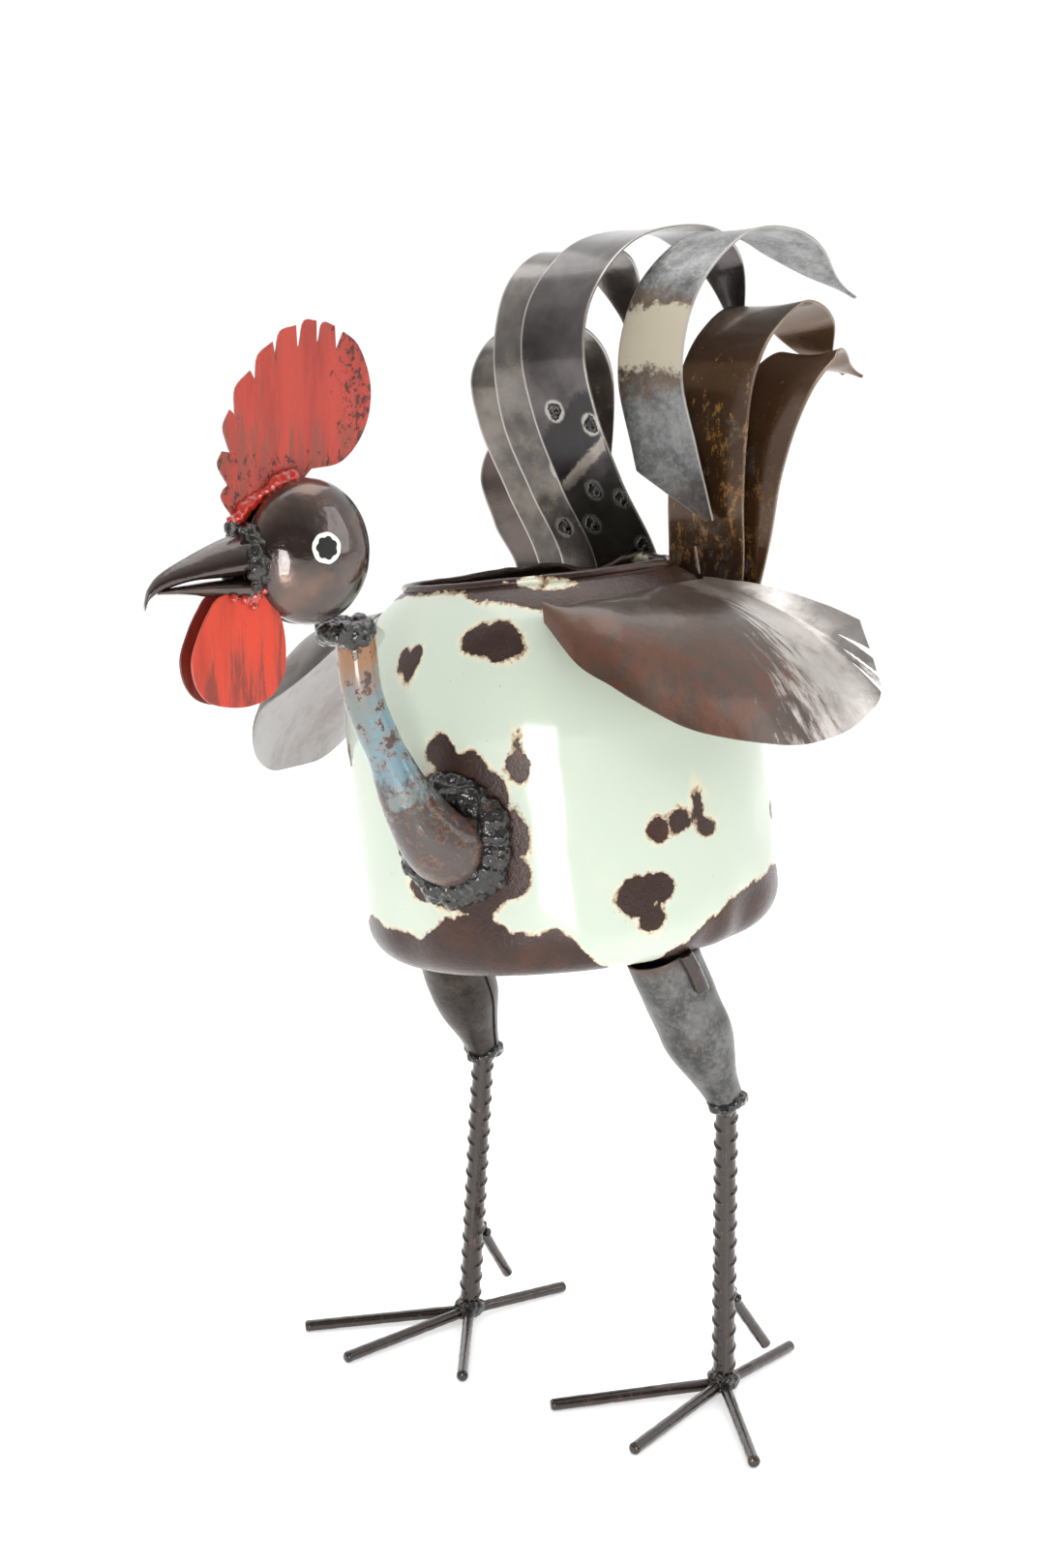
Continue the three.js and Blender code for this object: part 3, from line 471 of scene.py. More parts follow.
def dark_steel(settings):
    """Brown-black lacquered steel with scratches and bright patches: rubbed wear at the beak's tip, and a
    painted reflection along the head's rear rim.
    """
    r = Recipe("Dark_steel", Coat_Weight=1.0, Coat_Roughness=0.04)
    cloud = r.noise(22 * MM, 5, 0.65)
    brown = r.mix(cloud, settings.steel, [c * 1.9 for c in settings.steel])
    warm = r.mix(r.step(r.noise(34 * MM, 4, shift=2.0), 0.5, 0.72), brown, (0.13, 0.07, 0.045))
    scratch = r.step(r.noise(1.2 * MM, 3, 0.8, stretch=(1, 0.12, 0.12)), 0.70, 0.76)
    rubbed_and_sheen = r.step(r.add(r.field("rubbed_and_sheen"), r.times(r.noise(4 * MM, 5, 0.7), 0.6)), 0.75, 1.0)
    color = r.mix(rubbed_and_sheen, r.mix(r.times(scratch, 0.35), warm, (0.3, 0.27, 0.25)), (0.42, 0.4, 0.38))
    shine = r.blend(rubbed_and_sheen, r.blend(cloud, 0.14, 0.26), 0.3)
    hammered = r.bump(r.noise(12 * MM, 3), 1.1 * MM)
    relief = r.bump(r.noise(1.6 * MM, 4, 0.7), 0.09 * MM, hammered)
    return r.finish(color, shine, r.blend(rubbed_and_sheen, 0.62, 1.0), relief)


def weld_metal(settings):
    """Glossy black weld metal with spatter and glints of bare silver."""
    r = Recipe("Weld_metal", Coat_Weight=1.0, Coat_Roughness=0.05)
    glint = r.step(r.noise(3.4 * MM, 4, 0.75), 0.64, 0.70)
    rust = r.step(r.noise(9 * MM, 4, shift=3.0), 0.56, 0.7)
    dark = r.mix(r.times(rust, 0.7), settings.metal, (0.085, 0.04, 0.022))
    color = r.mix(r.times(glint, 0.55), dark, (0.33, 0.31, 0.3))
    bead = r.bump(r.cells(3.2 * MM), 0.8 * MM)
    relief = r.bump(r.noise(1.1 * MM, 5, 0.8), 0.35 * MM, bead)
    return r.finish(color, r.blend(glint, 0.34, 0.2), r.blend(glint, 0.55, 1.0), relief)


def red_paint(name, color, streak, wear):
    """Brushed red paint; wear(r, forward, up) says where it is speckled and where it is streaked."""
    r = Recipe(name, Coat_Weight=0.35, Coat_Roughness=0.22)
    speckled_at, streaked_at = wear(r, *r.flow_parts())
    brushed = r.noise(0.006, 6, 0.72, stretch=(1, 0.09, 1), at=r.flow())
    streaks = r.step(r.add(brushed, r.times(streaked_at, 0.12)), 0.55, 0.68)
    speckle = r.noise(0.0034, 5, 0.78, stretch=(1, 0.6, 1), at=r.flow(), shift=5.0)
    worn = r.step(r.add(speckle, r.times(speckled_at, 0.155)), 0.665, 0.70)
    shade = r.noise(0.012, 4, 0.6, stretch=(1, 0.14, 1), at=r.flow(), shift=2.0)
    base = r.mix(r.step(shade, 0.35, 0.75), color, [c * 0.66 for c in color])
    streaked = r.mix(r.times(streaks, 0.72), base, streak)
    finished = r.mix(r.times(worn, 0.88), streaked, (0.06, 0.032, 0.027))
    strokes = r.bump(r.noise(0.0016, 4, 0.7, stretch=(1, 0.06, 1), at=r.flow()), 0.16 * MM)
    relief = r.bump(r.times(r.either(worn, streaks), -1.0), 0.1 * MM, strokes)
    return r.finish(finished, r.blend(worn, 0.42, 0.5), r.times(worn, 0.5), relief)


def wet_red_paint(settings):
    """Thick glossy red paint over weld metal."""
    r = Recipe("Wet_red_paint", Coat_Weight=1.0, Coat_Roughness=0.04)
    thin = r.step(r.noise(3.2 * MM, 5, 0.75), 0.56, 0.66)
    color = r.mix(r.times(thin, 0.85), settings.drip, (0.09, 0.025, 0.018))
    return r.finish(color, 0.18, 0.0, r.bump(r.noise(1.6 * MM, 4, 0.7), 0.3 * MM))


def wing_steel(name, settings, front, rear, shade):
    """Sheet steel with heat colours at the front and bright brushing towards the rear and edge; `shade`
    scales the silver as painted light and shade.
    """
    r = Recipe(name, Coat_Weight=0.28, Coat_Roughness=0.12)
    out, along = r.flow_parts()
    ragged = r.noise(0.06, 6, 0.72, stretch=(0.35, 3.2, 1), at=r.flow())
    line = r.add(r.add(along, r.times(out, 0.16)), r.times(r.add(ragged, -0.5), 0.5))
    bright = r.step(line, rear - 0.06, rear + 0.05)
    cloud = r.noise(24 * MM, 5, 0.68)
    brown = r.mix(cloud, settings.scale, [c * 2.0 for c in settings.scale])
    patchy = r.step(r.noise(30 * MM, 4, 0.7, shift=1.5), 0.40, 0.60)
    copper = r.both(patchy, r.both(r.step(out, 0.35, 0.75), front))
    tinted = r.mix(r.times(copper, 0.85), brown, settings.copper)
    freckles = r.step(r.noise(3.2 * MM, 5, 0.8), 0.66, 0.74)
    freckled = r.mix(r.both(r.times(freckles, 0.6), r.step(out, 0.5, 0.1)), tinted, (0.33, 0.16, 0.05))
    brushing = r.noise(0.02, 5, 0.7, stretch=(0.3, 9, 1), at=r.flow())
    smudge = r.step(r.noise(30 * MM, 5, 0.7, shift=7.0), 0.45, 0.7)
    # The silver is scaled by `shade`: painted lighter on the near wing, and darker on the far wing as
    # painted shade.
    clean = r.mix(brushing, [c * shade for c in settings.silver], [c * shade * 0.6 for c in settings.silver])
    silver = r.mix(r.times(smudge, 0.5), clean, [c * 2.4 for c in settings.scale])
    color = r.mix(bright, freckled, silver)
    shine = r.blend(bright, r.blend(cloud, 0.24, 0.4), 0.3)
    beaten = r.bump(r.noise(19 * MM, 3), 0.9 * MM)
    relief = r.bump(r.noise(0.012, 4, 0.7, stretch=(0.25, 10, 1), at=r.flow()), 0.1 * MM, beaten)
    return r.finish(color, shine, r.blend(bright, 0.45, 0.95), relief)


def tail_steel(name, light, dark, stain, speckle, seed):
    """Lacquered grey strip: clouds of grey and brown, pale smudges and fine speckle."""
    r = Recipe(name, Coat_Weight=0.55, Coat_Roughness=0.1)
    cloud = r.noise(36 * MM, 5, 0.62, shift=seed)
    smudge = r.step(r.noise(26 * MM, 5, 0.75, shift=seed + 3), 0.5, 0.74)
    grey = r.mix(r.step(cloud, 0.3, 0.7), dark, light)
    stained = r.mix(r.times(smudge, 0.6), grey, stain)
    specks = r.step(r.noise(2.0 * MM, 4, 0.75, shift=seed + 5), 0.62, 0.72)
    color = r.mix(r.times(specks, speckle), stained, [c * 1.7 for c in light])
    foot = r.step(r.add(r.flow_parts()[1], r.times(cloud, 0.18)), 0.30, 0.12)
    darker = r.mix(r.times(foot, 0.75), color, (0.035, 0.025, 0.019))
    ragged = r.times(r.add(r.noise(5 * MM, 6, 0.8), -0.5), 9 * MM)
    black = r.step(r.add(r.field("burn"), r.times(ragged, 1.6)), 17 * MM, 11 * MM)
    burnt = r.mix(r.times(black, 0.9), darker, (0.008, 0.007, 0.007))
    scraped = r.step(r.add(r.field("scrape"), ragged), 4.0 * MM, 2.4 * MM)
    bare = r.mix(r.times(scraped, 0.85), burnt, (0.40, 0.35, 0.30))
    near_plug = r.add(r.field("plug"), r.times(ragged, 0.5))
    ring = r.both(r.step(near_plug, 7.5 * MM, 5.5 * MM), r.step(near_plug, 3 * MM, 4.2 * MM))
    ringed = r.mix(r.times(ring, 0.8), bare, (0.42, 0.40, 0.37))
    edged = r.pale_edges(ringed, (0.50, 0.46, 0.42))
    shine = r.blend(smudge, r.blend(cloud, 0.14, 0.24), 0.34)
    wave = r.bump(r.noise(34 * MM, 2, shift=seed), 1.2 * MM)
    relief = r.bump(r.noise(1.5 * MM, 4, 0.7), 0.06 * MM, wave)
    return r.finish(edged, shine, 0.88, relief)


def galvanised_steel(name, seed, tone, patch=0.0):
    """Dull spangled zinc; a patch of peeling cream paint sits part of the way along where wanted."""
    r = Recipe(name, Coat_Weight=0.3, Coat_Roughness=0.15)
    along = r.flow_parts()[1]
    cloud = r.noise(17 * MM, 6, 0.7, shift=seed)
    mottle = r.noise(3.2 * MM, 4, 0.75, shift=seed)
    zinc = r.mix(r.step(cloud, 0.36, 0.70), [c * 0.36 for c in tone], tone)
    dappled = r.mix(r.times(r.step(mottle, 0.45, 0.65), 0.3), zinc, [c * 1.6 for c in tone])
    rust = r.step(r.noise(13 * MM, 5, 0.75, shift=seed + 4), 0.60, 0.72)
    rusted = r.mix(r.times(rust, 0.5), dappled, (0.14, 0.085, 0.05))
    ends = r.step(r.add(along, r.times(r.noise(8 * MM, 4, 0.7), 0.14)), 0.16, 0.06)
    toasted = r.mix(r.times(ends, 0.8), rusted, (0.09, 0.045, 0.03))
    reach = r.sum("ABSOLUTE", r.add(along, -CREAM_PATCH_AT))
    torn = r.add(reach, r.times(r.add(r.noise(16 * MM, 6, 0.75), -0.5), 0.16))
    cream = r.times(r.step(torn, 0.075, 0.055), patch)
    brown = r.times(r.step(torn, 0.115, 0.075), patch)
    framed = r.mix(r.times(brown, 0.7), toasted, (0.17, 0.10, 0.05))
    color = r.mix(cream, framed, (0.56, 0.50, 0.38))
    metal = r.blend(cream, r.blend(ends, 0.85, 0.4), 0.1)
    scratch = r.step(r.noise(0.9 * MM, 2, 0.6, stretch=(1, 1, 0.05)), 0.74, 0.80)
    edged = r.pale_edges(color, (0.45, 0.43, 0.40)) if patch else color
    scored = r.mix(r.times(scratch, 0.5), edged, (0.5, 0.5, 0.5))
    dents = r.bump(r.noise(12 * MM, 3, shift=seed), 0.8 * MM)
    relief = r.bump(mottle, 0.12 * MM, dents)
    return r.finish(scored, r.blend(mottle, 0.34, 0.5), metal, relief)


def rusty_steel(name, gold, seed):
    """Lacquered rust: dark brown with orange and yellow bloom, brighter towards the foot."""
    r = Recipe(name, Coat_Weight=0.7, Coat_Roughness=0.12)
    along = r.flow_parts()[1]
    cloud = r.noise(28 * MM, 5, 0.65, shift=seed)
    brown = r.mix(cloud, (0.045, 0.022, 0.010), (0.13, 0.062, 0.025))
    low = r.step(along, 0.62, 0.2)
    bloom = r.noise(7 * MM, 6, 0.8, stretch=(1, 1, 0.6), shift=seed + 2)
    orange = r.step(r.add(bloom, r.times(low, 0.10)), 0.60, 0.74)
    blotched = r.mix(r.times(orange, gold), brown, (0.42, 0.20, 0.055))
    pale = r.step(r.noise(4 * MM, 5, 0.8, shift=seed + 6), 0.66, 0.75)
    dusted = r.mix(r.both(r.times(pale, 0.7), r.step(along, 0.5, 0.3)), blotched, (0.45, 0.33, 0.18))
    grey = r.step(r.noise(20 * MM, 4, 0.7, shift=seed + 9), 0.55, 0.68)
    greyed = r.mix(r.both(r.times(grey, 0.55), low), dusted, (0.20, 0.19, 0.18))
    foot = r.step(r.add(along, r.times(cloud, 0.12)), 0.24, 0.12)
    footed = r.mix(r.times(foot, 0.7), greyed, (0.035, 0.016, 0.010))
    color = r.pale_edges(footed, (0.30, 0.22, 0.15))
    shine = r.blend(orange, 0.16, 0.45)
    relief = r.bump(r.noise(1.8 * MM, 5, 0.75), 0.16 * MM, r.bump(r.noise(25 * MM, 2), 0.8 * MM))
    return r.finish(color, shine, r.blend(orange, 0.6, 0.3), relief)


def lacquered_bar(settings):
    """Dark brown mill scale under clear lacquer, with rust in the hollows."""
    r = Recipe("Lacquered_bar", Coat_Weight=1.0, Coat_Roughness=0.04)
    cloud = r.noise(14 * MM, 5, 0.7)
    rust = r.step(r.noise(6 * MM, 5, 0.75, shift=3.0), 0.56, 0.7)
    brown = r.mix(cloud, settings.bar, [c * 1.8 for c in settings.bar])
    rusted = r.mix(r.times(rust, 0.6), brown, (0.13, 0.06, 0.03))
    bright = r.step(r.noise(2.6 * MM, 4, 0.7, shift=8.0), 0.68, 0.76)
    color = r.mix(r.times(bright, 0.5), rusted, (0.3, 0.28, 0.26))
    relief = r.bump(r.noise(1.3 * MM, 5, 0.75), 0.22 * MM)
    return r.finish(color, r.blend(rust, 0.25, 0.42), r.blend(rust, 0.7, 0.4), relief)


def eye_white(settings):
    """Hand-dabbed white paint with a grey smear."""
    r = Recipe("Eye_white", IOR=1.5)
    smear = r.step(r.noise(2.5 * MM, 4, 0.7), 0.58, 0.72)
    color = r.mix(r.times(smear, 0.35), settings.white, (0.45, 0.42, 0.38))
    return r.finish(color, r.blend(smear, 0.3, 0.45), 0.0, r.bump(r.noise(1.2 * MM, 4), 0.15 * MM))


def eye_black():
    """Matt black paint, a little uneven."""
    r = Recipe("Eye_black", IOR=1.45)
    uneven = r.noise(1.6 * MM, 4, 0.7)
    color = r.mix(uneven, (0.004, 0.004, 0.004), (0.012, 0.011, 0.010))
    return r.finish(color, r.blend(uneven, 0.45, 0.65), 0.0, r.bump(uneven, 0.15 * MM))


def studio_floor(settings):
    """Pale seamless floor with a faint grain."""
    r = Recipe("Studio_floor", IOR=1.3, Emission_Strength=0.5)
    grain = r.noise(4 * MM, 3)
    color = r.mix(grain, settings.floor, [c * 0.985 for c in settings.floor])
    return r.finish(color, 0.6, 0.0, r.bump(grain, 0.02 * MM))


# ---------------------------------------------------------------- pot
def pot_outline(out, corner_steps, shoulder_steps, wall_steps=1):
    """Radius and height pairs from the middle of the underside to the collar, grown by `out`."""
    points = [(0.0, -out)]
    for i in range(corner_steps + 1):
        turn = i / corner_steps * math.pi / 2
        reach = POT_CORNER + out
        points.append(
            (POT_RADIUS - POT_CORNER + reach * math.sin(turn), POT_CORNER - reach * math.cos(turn))
        )
    foot = POT_HEIGHT - SHOULDER_HEIGHT
    for i in range(1, wall_steps):
        points.append((POT_RADIUS + out, blend(POT_CORNER, foot, i / wall_steps)))
    ends = (
        (POT_RADIUS + out, foot),
        (POT_RADIUS - 3 * MM + out, POT_HEIGHT - SHOULDER_HEIGHT * 0.36 + out * 0.4),
        (MOUTH_RADIUS + 1 * MM + out, POT_HEIGHT - RIM_COLLAR + out * 0.4),
    )
    for i in range(shoulder_steps + 1):
        t = i / shoulder_steps
        shares = ((1 - t) ** 2, 2 * t * (1 - t), t * t)
        points.append(tuple(sum(s * p[axis] for s, p in zip(shares, ends)) for axis in (0, 1)))
    return points


WALL_LINE = [(height, radius) for radius, height in pot_outline(0.0, 12, 24)][1:]


def pot_radius(height):
    return table(WALL_LINE, height)


def off_pot(point, clearance=0.0):
    """The same point, moved out to the pot's surface if it was inside the pot."""
    seen = TO_POT @ point
    if not 0 < seen.z < POT_HEIGHT:
        return point
    wanted = pot_radius(seen.z) + clearance
    flat = Vector((seen.x, seen.y, 0))
    if flat.length >= wanted:
        return point
    return POT @ (flat.normalized() * wanted + Vector((0, 0, seen.z)))


def on_pot(azimuth, up, out=0.0):
    """A point on the pot in the pot's own frame; azimuth 0 is the front and 90 the bird's left."""
    turn = math.radians(azimuth)
    reach = pot_radius(up) + out
    return Vector((math.sin(turn) * reach, -math.cos(turn) * reach, up))


# Chips in the enamel: azimuth in degrees, then height, half width and half height in millimetres.
CHIPS = [
    (18, 176, 10, 8), (24, 175, 13, 10), (28, 173, 8, 7),
    (-7.5, 168, 5, 6), (-3.5, 170, 4.5, 5), (-5, 163, 4.5, 6),
    (27.3, 123, 3.4, 6), (27.2, 111, 6, 7.5),
    (62, 71, 6, 5.5), (67.5, 73.5, 7.5, 6.5), (74.5, 80, 3.6, 9), (77, 68, 5, 5),
    (54, 38, 10.5, 11), (60, 42, 9.5, 8), (57, 27, 7, 7),
    (7, 76, 38, 36), (6.5, 122, 9, 9), (13, 112, 12, 10), (20, 97, 9, 12), (23.5, 78, 8, 14),
    (22, 57, 10, 12), (13, 48, 14, 12), (-2, 53, 14, 9),
    (-62, 150, 14, 9), (-88, 92, 10, 13), (-72, 60, 7, 9), (-128, 62, 15, 10), (-150, 148, 13, 8),
    (180, 118, 12, 9), (153, 72, 9, 12), (120, 62, 8, 6), (132, 146, 8, 6), (-172, 60, 7, 6),
    (101, 120, 5, 4), (-40, 118, 5, 6),
]
# Height in millimetres up to which the enamel is gone round the underside, by azimuth.
BARE_FOOT = [
    (-180, 16), (-120, 12), (-60, 16), (-34, 30), (-22, 26), (-9, 22), (2, 34), (14, 38), (21, 27),
    (27, 24), (32, 28), (37, 22), (40, 10), (46, 0), (58, 0), (64, 6), (72, 15), (82, 26),
    (96, 30), (112, 34), (130, 22), (180, 16),
]
# Height in millimetres from which it is gone below the mouth.
BARE_SHOULDER = [
    (-180, 188), (-110, 192), (-60, 197), (-20, 201), (5, 200), (16, 196), (28, 193), (38, 188),
    (48, 184), (60, 181), (90, 180), (130, 184), (180, 188),
]
# Patches of enamel that are left inside the bare shoulder, as in CHIPS.
LEFT_ENAMEL = [
    (34, 202, 15, 3.2), (45, 199.5, 12, 3.4), (24, 203, 8, 2), (-40, 203, 12, 2), (160, 200, 14, 4),
]
# Dents: azimuth, height, reach and depth in millimetres.
DENTS = [
    (92, 16, 20, 5.0), (76, 10, 15, 3.0), (-14, 24, 22, 2.6), (24, 172, 13, 1.8), (-70, 130, 30, 2.2),
    (150, 90, 32, 2.5), (30, 12, 16, 1.6), (108, 60, 24, 1.4),
]


def across_pot(azimuth, other):
    """Distance in millimetres round the pot's wall from one azimuth to another."""
    turn = (azimuth - other + 180) % 360 - 180
    return math.radians(turn) * POT_RADIUS / MM


def patch_distance(azimuth, up, patches):
    """Millimetres outside the nearest oval patch, less than zero inside it."""
    nearest = 1e3
    for middle, height, half_wide, half_tall in patches:
        x = across_pot(azimuth, middle) / half_wide
        y = (up - height) / half_tall
        nearest = min(nearest, (math.hypot(x, y) - 1) * min(half_wide, half_tall))
    return nearest


def chip_distance(azimuth, up):
    """Metres from a place on the pot to bare metal, less than zero on it."""
    foot = up - table(BARE_FOOT, azimuth)
    shoulder = table(BARE_SHOULDER, azimuth) - up
    shoulder = max(shoulder, -patch_distance(azimuth, up, LEFT_ENAMEL))
    return min(patch_distance(azimuth, up, CHIPS), foot, shoulder) * MM


def dent_depth(azimuth, up, amount):
    depth = 0.0
    for middle, height, reach, deep in DENTS:
        away = math.hypot(across_pot(azimuth, middle), up - height) / reach
        depth += deep * math.exp(-2 * away * away)
    return depth * amount


def beaten_rim(point, settings):
    """Lifts, drops and crumples the rolled edge, most of all at the rear."""
    turn = math.atan2(point.x, -point.y)
    rear = max(0.0, -math.cos(turn))
    high = ease(point.z, POT_HEIGHT - 14 * MM, POT_HEIGHT)
    wave = (2.6 * math.sin(5 * turn + 0.6) + 1.4 * math.sin(9 * turn)) * rear
    crumple = 1.5 * rough(point, 11 * MM, 4) * (0.25 + rear)
    push = 1 - 0.014 * rear * high
    inward = 1.6 * MM * rough(point, 16 * MM, 2) * high * (0.2 + rear)
    flat = Vector((point.x, point.y, 0))
    flat = flat * push + (flat.normalized() * inward if flat.length > 1 * MM else Vector())
    return flat + Vector((0, 0, point.z + (wave + crumple) * high * settings.rim_crumple * MM))


def build_pot(settings):
    outer = pot_outline(0.0, 10, 32, 40)
    inner = pot_outline(-POT_WALL, 10, 32, 40)[::-1]
    bead = []
    for i in range(13):
        turn = (-0.35 + i / 12 * 1.6) * math.pi
        bead.append(
            (
                MOUTH_RADIUS - RIM_BEAD + RIM_BEAD * math.cos(turn),
                POT_HEIGHT - RIM_BEAD + RIM_BEAD * math.sin(turn),
            )
        )
    underside = [(share * (POT_RADIUS - POT_CORNER), 0.0) for share in (0.25, 0.5, 0.75, 0.9)]
    floor = [(r, POT_WALL) for r, z in reversed(underside)]
    profile = [*underside, *outer[1:], *bead, *inner[:-1], *floor]
    around = 256
    vertices, chips = [], []
    for radius, height in profile:
        for column in range(around):
            azimuth = 360 * column / around - 180
            turn = math.radians(azimuth)
            dent = dent_depth(azimuth, height / MM, settings.dents) * MM * ease(radius, 0.02, 0.09)
            reach = radius - dent + 0.35 * MM * noise.noise(
                Vector((math.sin(turn), math.cos(turn), height / 0.09)) * 1.7
            ) * ease(radius, 0.05, 0.1)
            point = Vector((math.sin(turn) * reach, -math.cos(turn) * reach, height))
            vertices.append(POT @ beaten_rim(point, settings))
            chips.append(chip_distance(azimuth, height / MM))
    rows = len(profile)
    faces = capped(grid_faces(rows, around, wrap=True), rows, around)
    pot = make("Pot", vertices, faces, fields={"chip": chips})
    return place_on_bird(pot, mint_enamel(settings), "mint_enamel", "pot_body")


def build_rim_tab(settings):
    azimuth = 128
    turn = math.radians(azimuth)
    root = on_pot(azimuth, POT_HEIGHT - RIM_COLLAR - 6 * MM, 3.5 * MM)
    side = Vector((math.cos(turn), math.sin(turn), 0))
    tab = sheet(
        "Rim_tab",
        lambda u, v: POT
        @ (root + side * (u - 0.5) * 20 * MM * (1 - 0.75 * v) + mm(0, 0, 15 * v + rough(root, 5 * MM))),
        8,
        8,
    )
    thicken(tab, settings.sheet)
    return place_on_bird(tab, rusty_steel("Rim_tab_rust", 0.8, 5.0), "rusty_steel", "rim_tab")


# ---------------------------------------------------------------- neck
NECK_AZIMUTH = 8
NECK_UP = 76 * MM
NECK_ROOT_RADIUS = 27 * MM
NECK_TIP_RADIUS = 10 * MM
NECK_WALL = 1.5 * MM
NECK_REACH = 63 * MM
NECK_RISE = 106 * MM
NECK_FOOT = POT @ on_pot(NECK_AZIMUTH, NECK_UP)
NECK_ASIDE = NECK_FOOT.x - BIRD.translation.x
NECK_TOP = Vector((BIRD.translation.x, NECK_FOOT.y - NECK_REACH, NECK_FOOT.z + NECK_RISE))


def neck_point(aside, forward, up):
    """A point on the neck's middle line, as shares of its foot's offset, its reach and its rise."""
    return Vector(
        (
            BIRD.translation.x + NECK_ASIDE * aside,
            NECK_FOOT.y - NECK_REACH * forward,
            NECK_FOOT.z + NECK_RISE * up,
        )
    )


NECK_PATH = Path(
    [
        POT @ on_pot(NECK_AZIMUTH, NECK_UP + 6 * MM, -14 * MM),
        POT @ on_pot(NECK_AZIMUTH, NECK_UP, 10 * MM),
        neck_point(0.6, 0.43, 0.17),
        neck_point(0.2, 0.67, 0.44),
        NECK_TOP + mm(0, 5, 0) - Vector((0, 0, NECK_RISE * 0.26)),
        NECK_TOP,
    ]
)


def neck_radius(share):
    flare = max(0.0, 1 - share / 0.62) ** 1.15
    return NECK_TIP_RADIUS + (NECK_ROOT_RADIUS - NECK_TIP_RADIUS) * flare


def build_neck(settings):
    def radius(angle, share):
        way = Vector((math.cos(angle), math.sin(angle), share * 6))
        return neck_radius(share) * (1 + 0.03 * noise.noise(way * 1.3) * (1 - share))

    neck = tube("Neck_spout", NECK_PATH, radius, 64, 96, caps=False)
    for v in neck.data.vertices:
        v.co = off_pot(v.co, 0.4 * MM)
    thicken(neck, NECK_WALL, offset=-1.0, edge=0.2)
    return place_on_bird(neck, blue_enamel(settings), "blue_enamel", "neck_spout")


def build_neck_root_weld(settings):
    balls = []
    away = (POT @ on_pot(NECK_AZIMUTH, NECK_UP, 60 * MM) - NECK_FOOT).normalized()
    turn_to = Vector((0, 0, 1)).rotation_difference(away)
    foot = POT @ on_pot(NECK_AZIMUTH, NECK_UP, 1.2 * MM)
    count = 210
    for i in range(count):
        turn = 2 * math.pi * i * 0.618
        spread = noise.noise(Vector((i * 0.37, 3, 1)))
        lift = (i % 3) * 2.6 * MM
        reach = NECK_ROOT_RADIUS + (1.5 + 8.5 * spread) * MM - 0.9 * lift
        middle = Vector((math.cos(turn) * reach, math.sin(turn) * reach, lift))
        place = off_pot(foot + turn_to @ middle, 0.2 * MM)
        size = 5.0 + 3.6 * noise.noise(Vector((i * 0.9, 8, 2))) - 3.5 * abs(spread)
        balls.append(ball(place, max(size, 1.6) * MM))
    weld = lumps("Neck_root_weld", balls, voxel=0.8 * MM, pitting=0.9 * MM, seed=2.0)
    return place_on_bird(weld, weld_metal(settings), "weld", "neck_root_weld")


# ---------------------------------------------------------------- head
HEAD_LONG = 62 * MM
HEAD_TALL = 69 * MM
HEAD_WIDE = 48 * MM
HEAD_WALL = 1.4 * MM
HEAD_BAND = 7 * MM
HEAD_TURN = math.radians(-21)
HEAD_SET_FORWARD = 4 * MM
HEAD_SET_UP = 8 * MM
TOUCH = 0.3 * MM  # left between pieces that touch
DISC_DEPTH = (HEAD_WIDE - HEAD_BAND) / 2 - TOUCH
HEAD = Matrix.Translation(
    NECK_TOP + Vector((0, -HEAD_SET_FORWARD - HEAD_LONG / 2, HEAD_SET_UP + HEAD_TALL / 2))
) @ Matrix.Rotation(HEAD_TURN, 4, "Z")


def dome_point(side, turn, lean):
    """A point on one head disc; lean is 0 at its rim and 90 degrees at its crown."""
    ring = HEAD_TALL / 2 * math.cos(lean)
    out = HEAD_BAND / 2 + TOUCH + DISC_DEPTH * math.sin(lean)
    return Vector(
        (side * out, ring * math.sin(turn) * HEAD_LONG / HEAD_TALL, ring * math.cos(turn))
    )


def build_head_disc(name, settings):
    side = SIDES[name]
    around, rings = 96, 30
    vertices, rubbed_and_sheen = [], []
    for row in range(rings):
        lean = math.radians(89 * row / (rings - 1))
        for column in range(around):
            turn = 2 * math.pi * column / around
            point = dome_point(side, turn, lean)
            dent = 0.55 * MM * rough(point, 17 * MM, side)
            point -= Vector((side, 0, 0)) * (abs(dent) if row else 0)
            vertices.append(HEAD @ point)
            # The rear rim of each disc is painted lighter, a painted reflection of the bright room behind
            # the head.
            behind = ease(math.sin(turn) + 0.25 * math.cos(turn), 0.45, 0.9)
            rubbed_and_sheen.append(behind * ease(lean, math.radians(34), math.radians(8)))
    faces = grid_faces(rings, around, wrap=True)
    faces.append(tuple(range((rings - 1) * around, rings * around)))
    disc = make(f"Head_disc_{name}", vertices, faces, fields={"rubbed_and_sheen": rubbed_and_sheen})
    thicken(disc, HEAD_WALL, offset=-1.0)
    return place_on_bird(disc, dark_steel(settings), "dark_steel", f"head_disc_{name}")


def build_head_band(settings):
    start, sweep = math.radians(-12), math.radians(152)

    def place(u, v):
        turn = start + v * sweep
        reach = -0.8 * MM + 0.4 * MM * rough(Vector((u * 0.02, v * 0.2, 0)), 9 * MM)
        y = (HEAD_LONG / 2 + reach) * math.sin(turn)
        z = (HEAD_TALL / 2 + reach) * math.cos(turn)
        return HEAD @ Vector(((0.5 - u) * HEAD_BAND, y, z))

    # The band is painted lighter from its top round to its back, the same painted reflection as on the
    # discs' rear rims.
    band = sheet("Head_band", place, 8, 90, {"rubbed_and_sheen": lambda u, v: 0.3 * ease(v, 0.1, 0.4)})
    thicken(band, HEAD_WALL)
    return place_on_bird(band, dark_steel(settings), "dark_steel", "head_band")


BEAK_LENGTH = 52 * MM
BEAK_ROOT = HEAD_LONG / 2 - 3 * MM
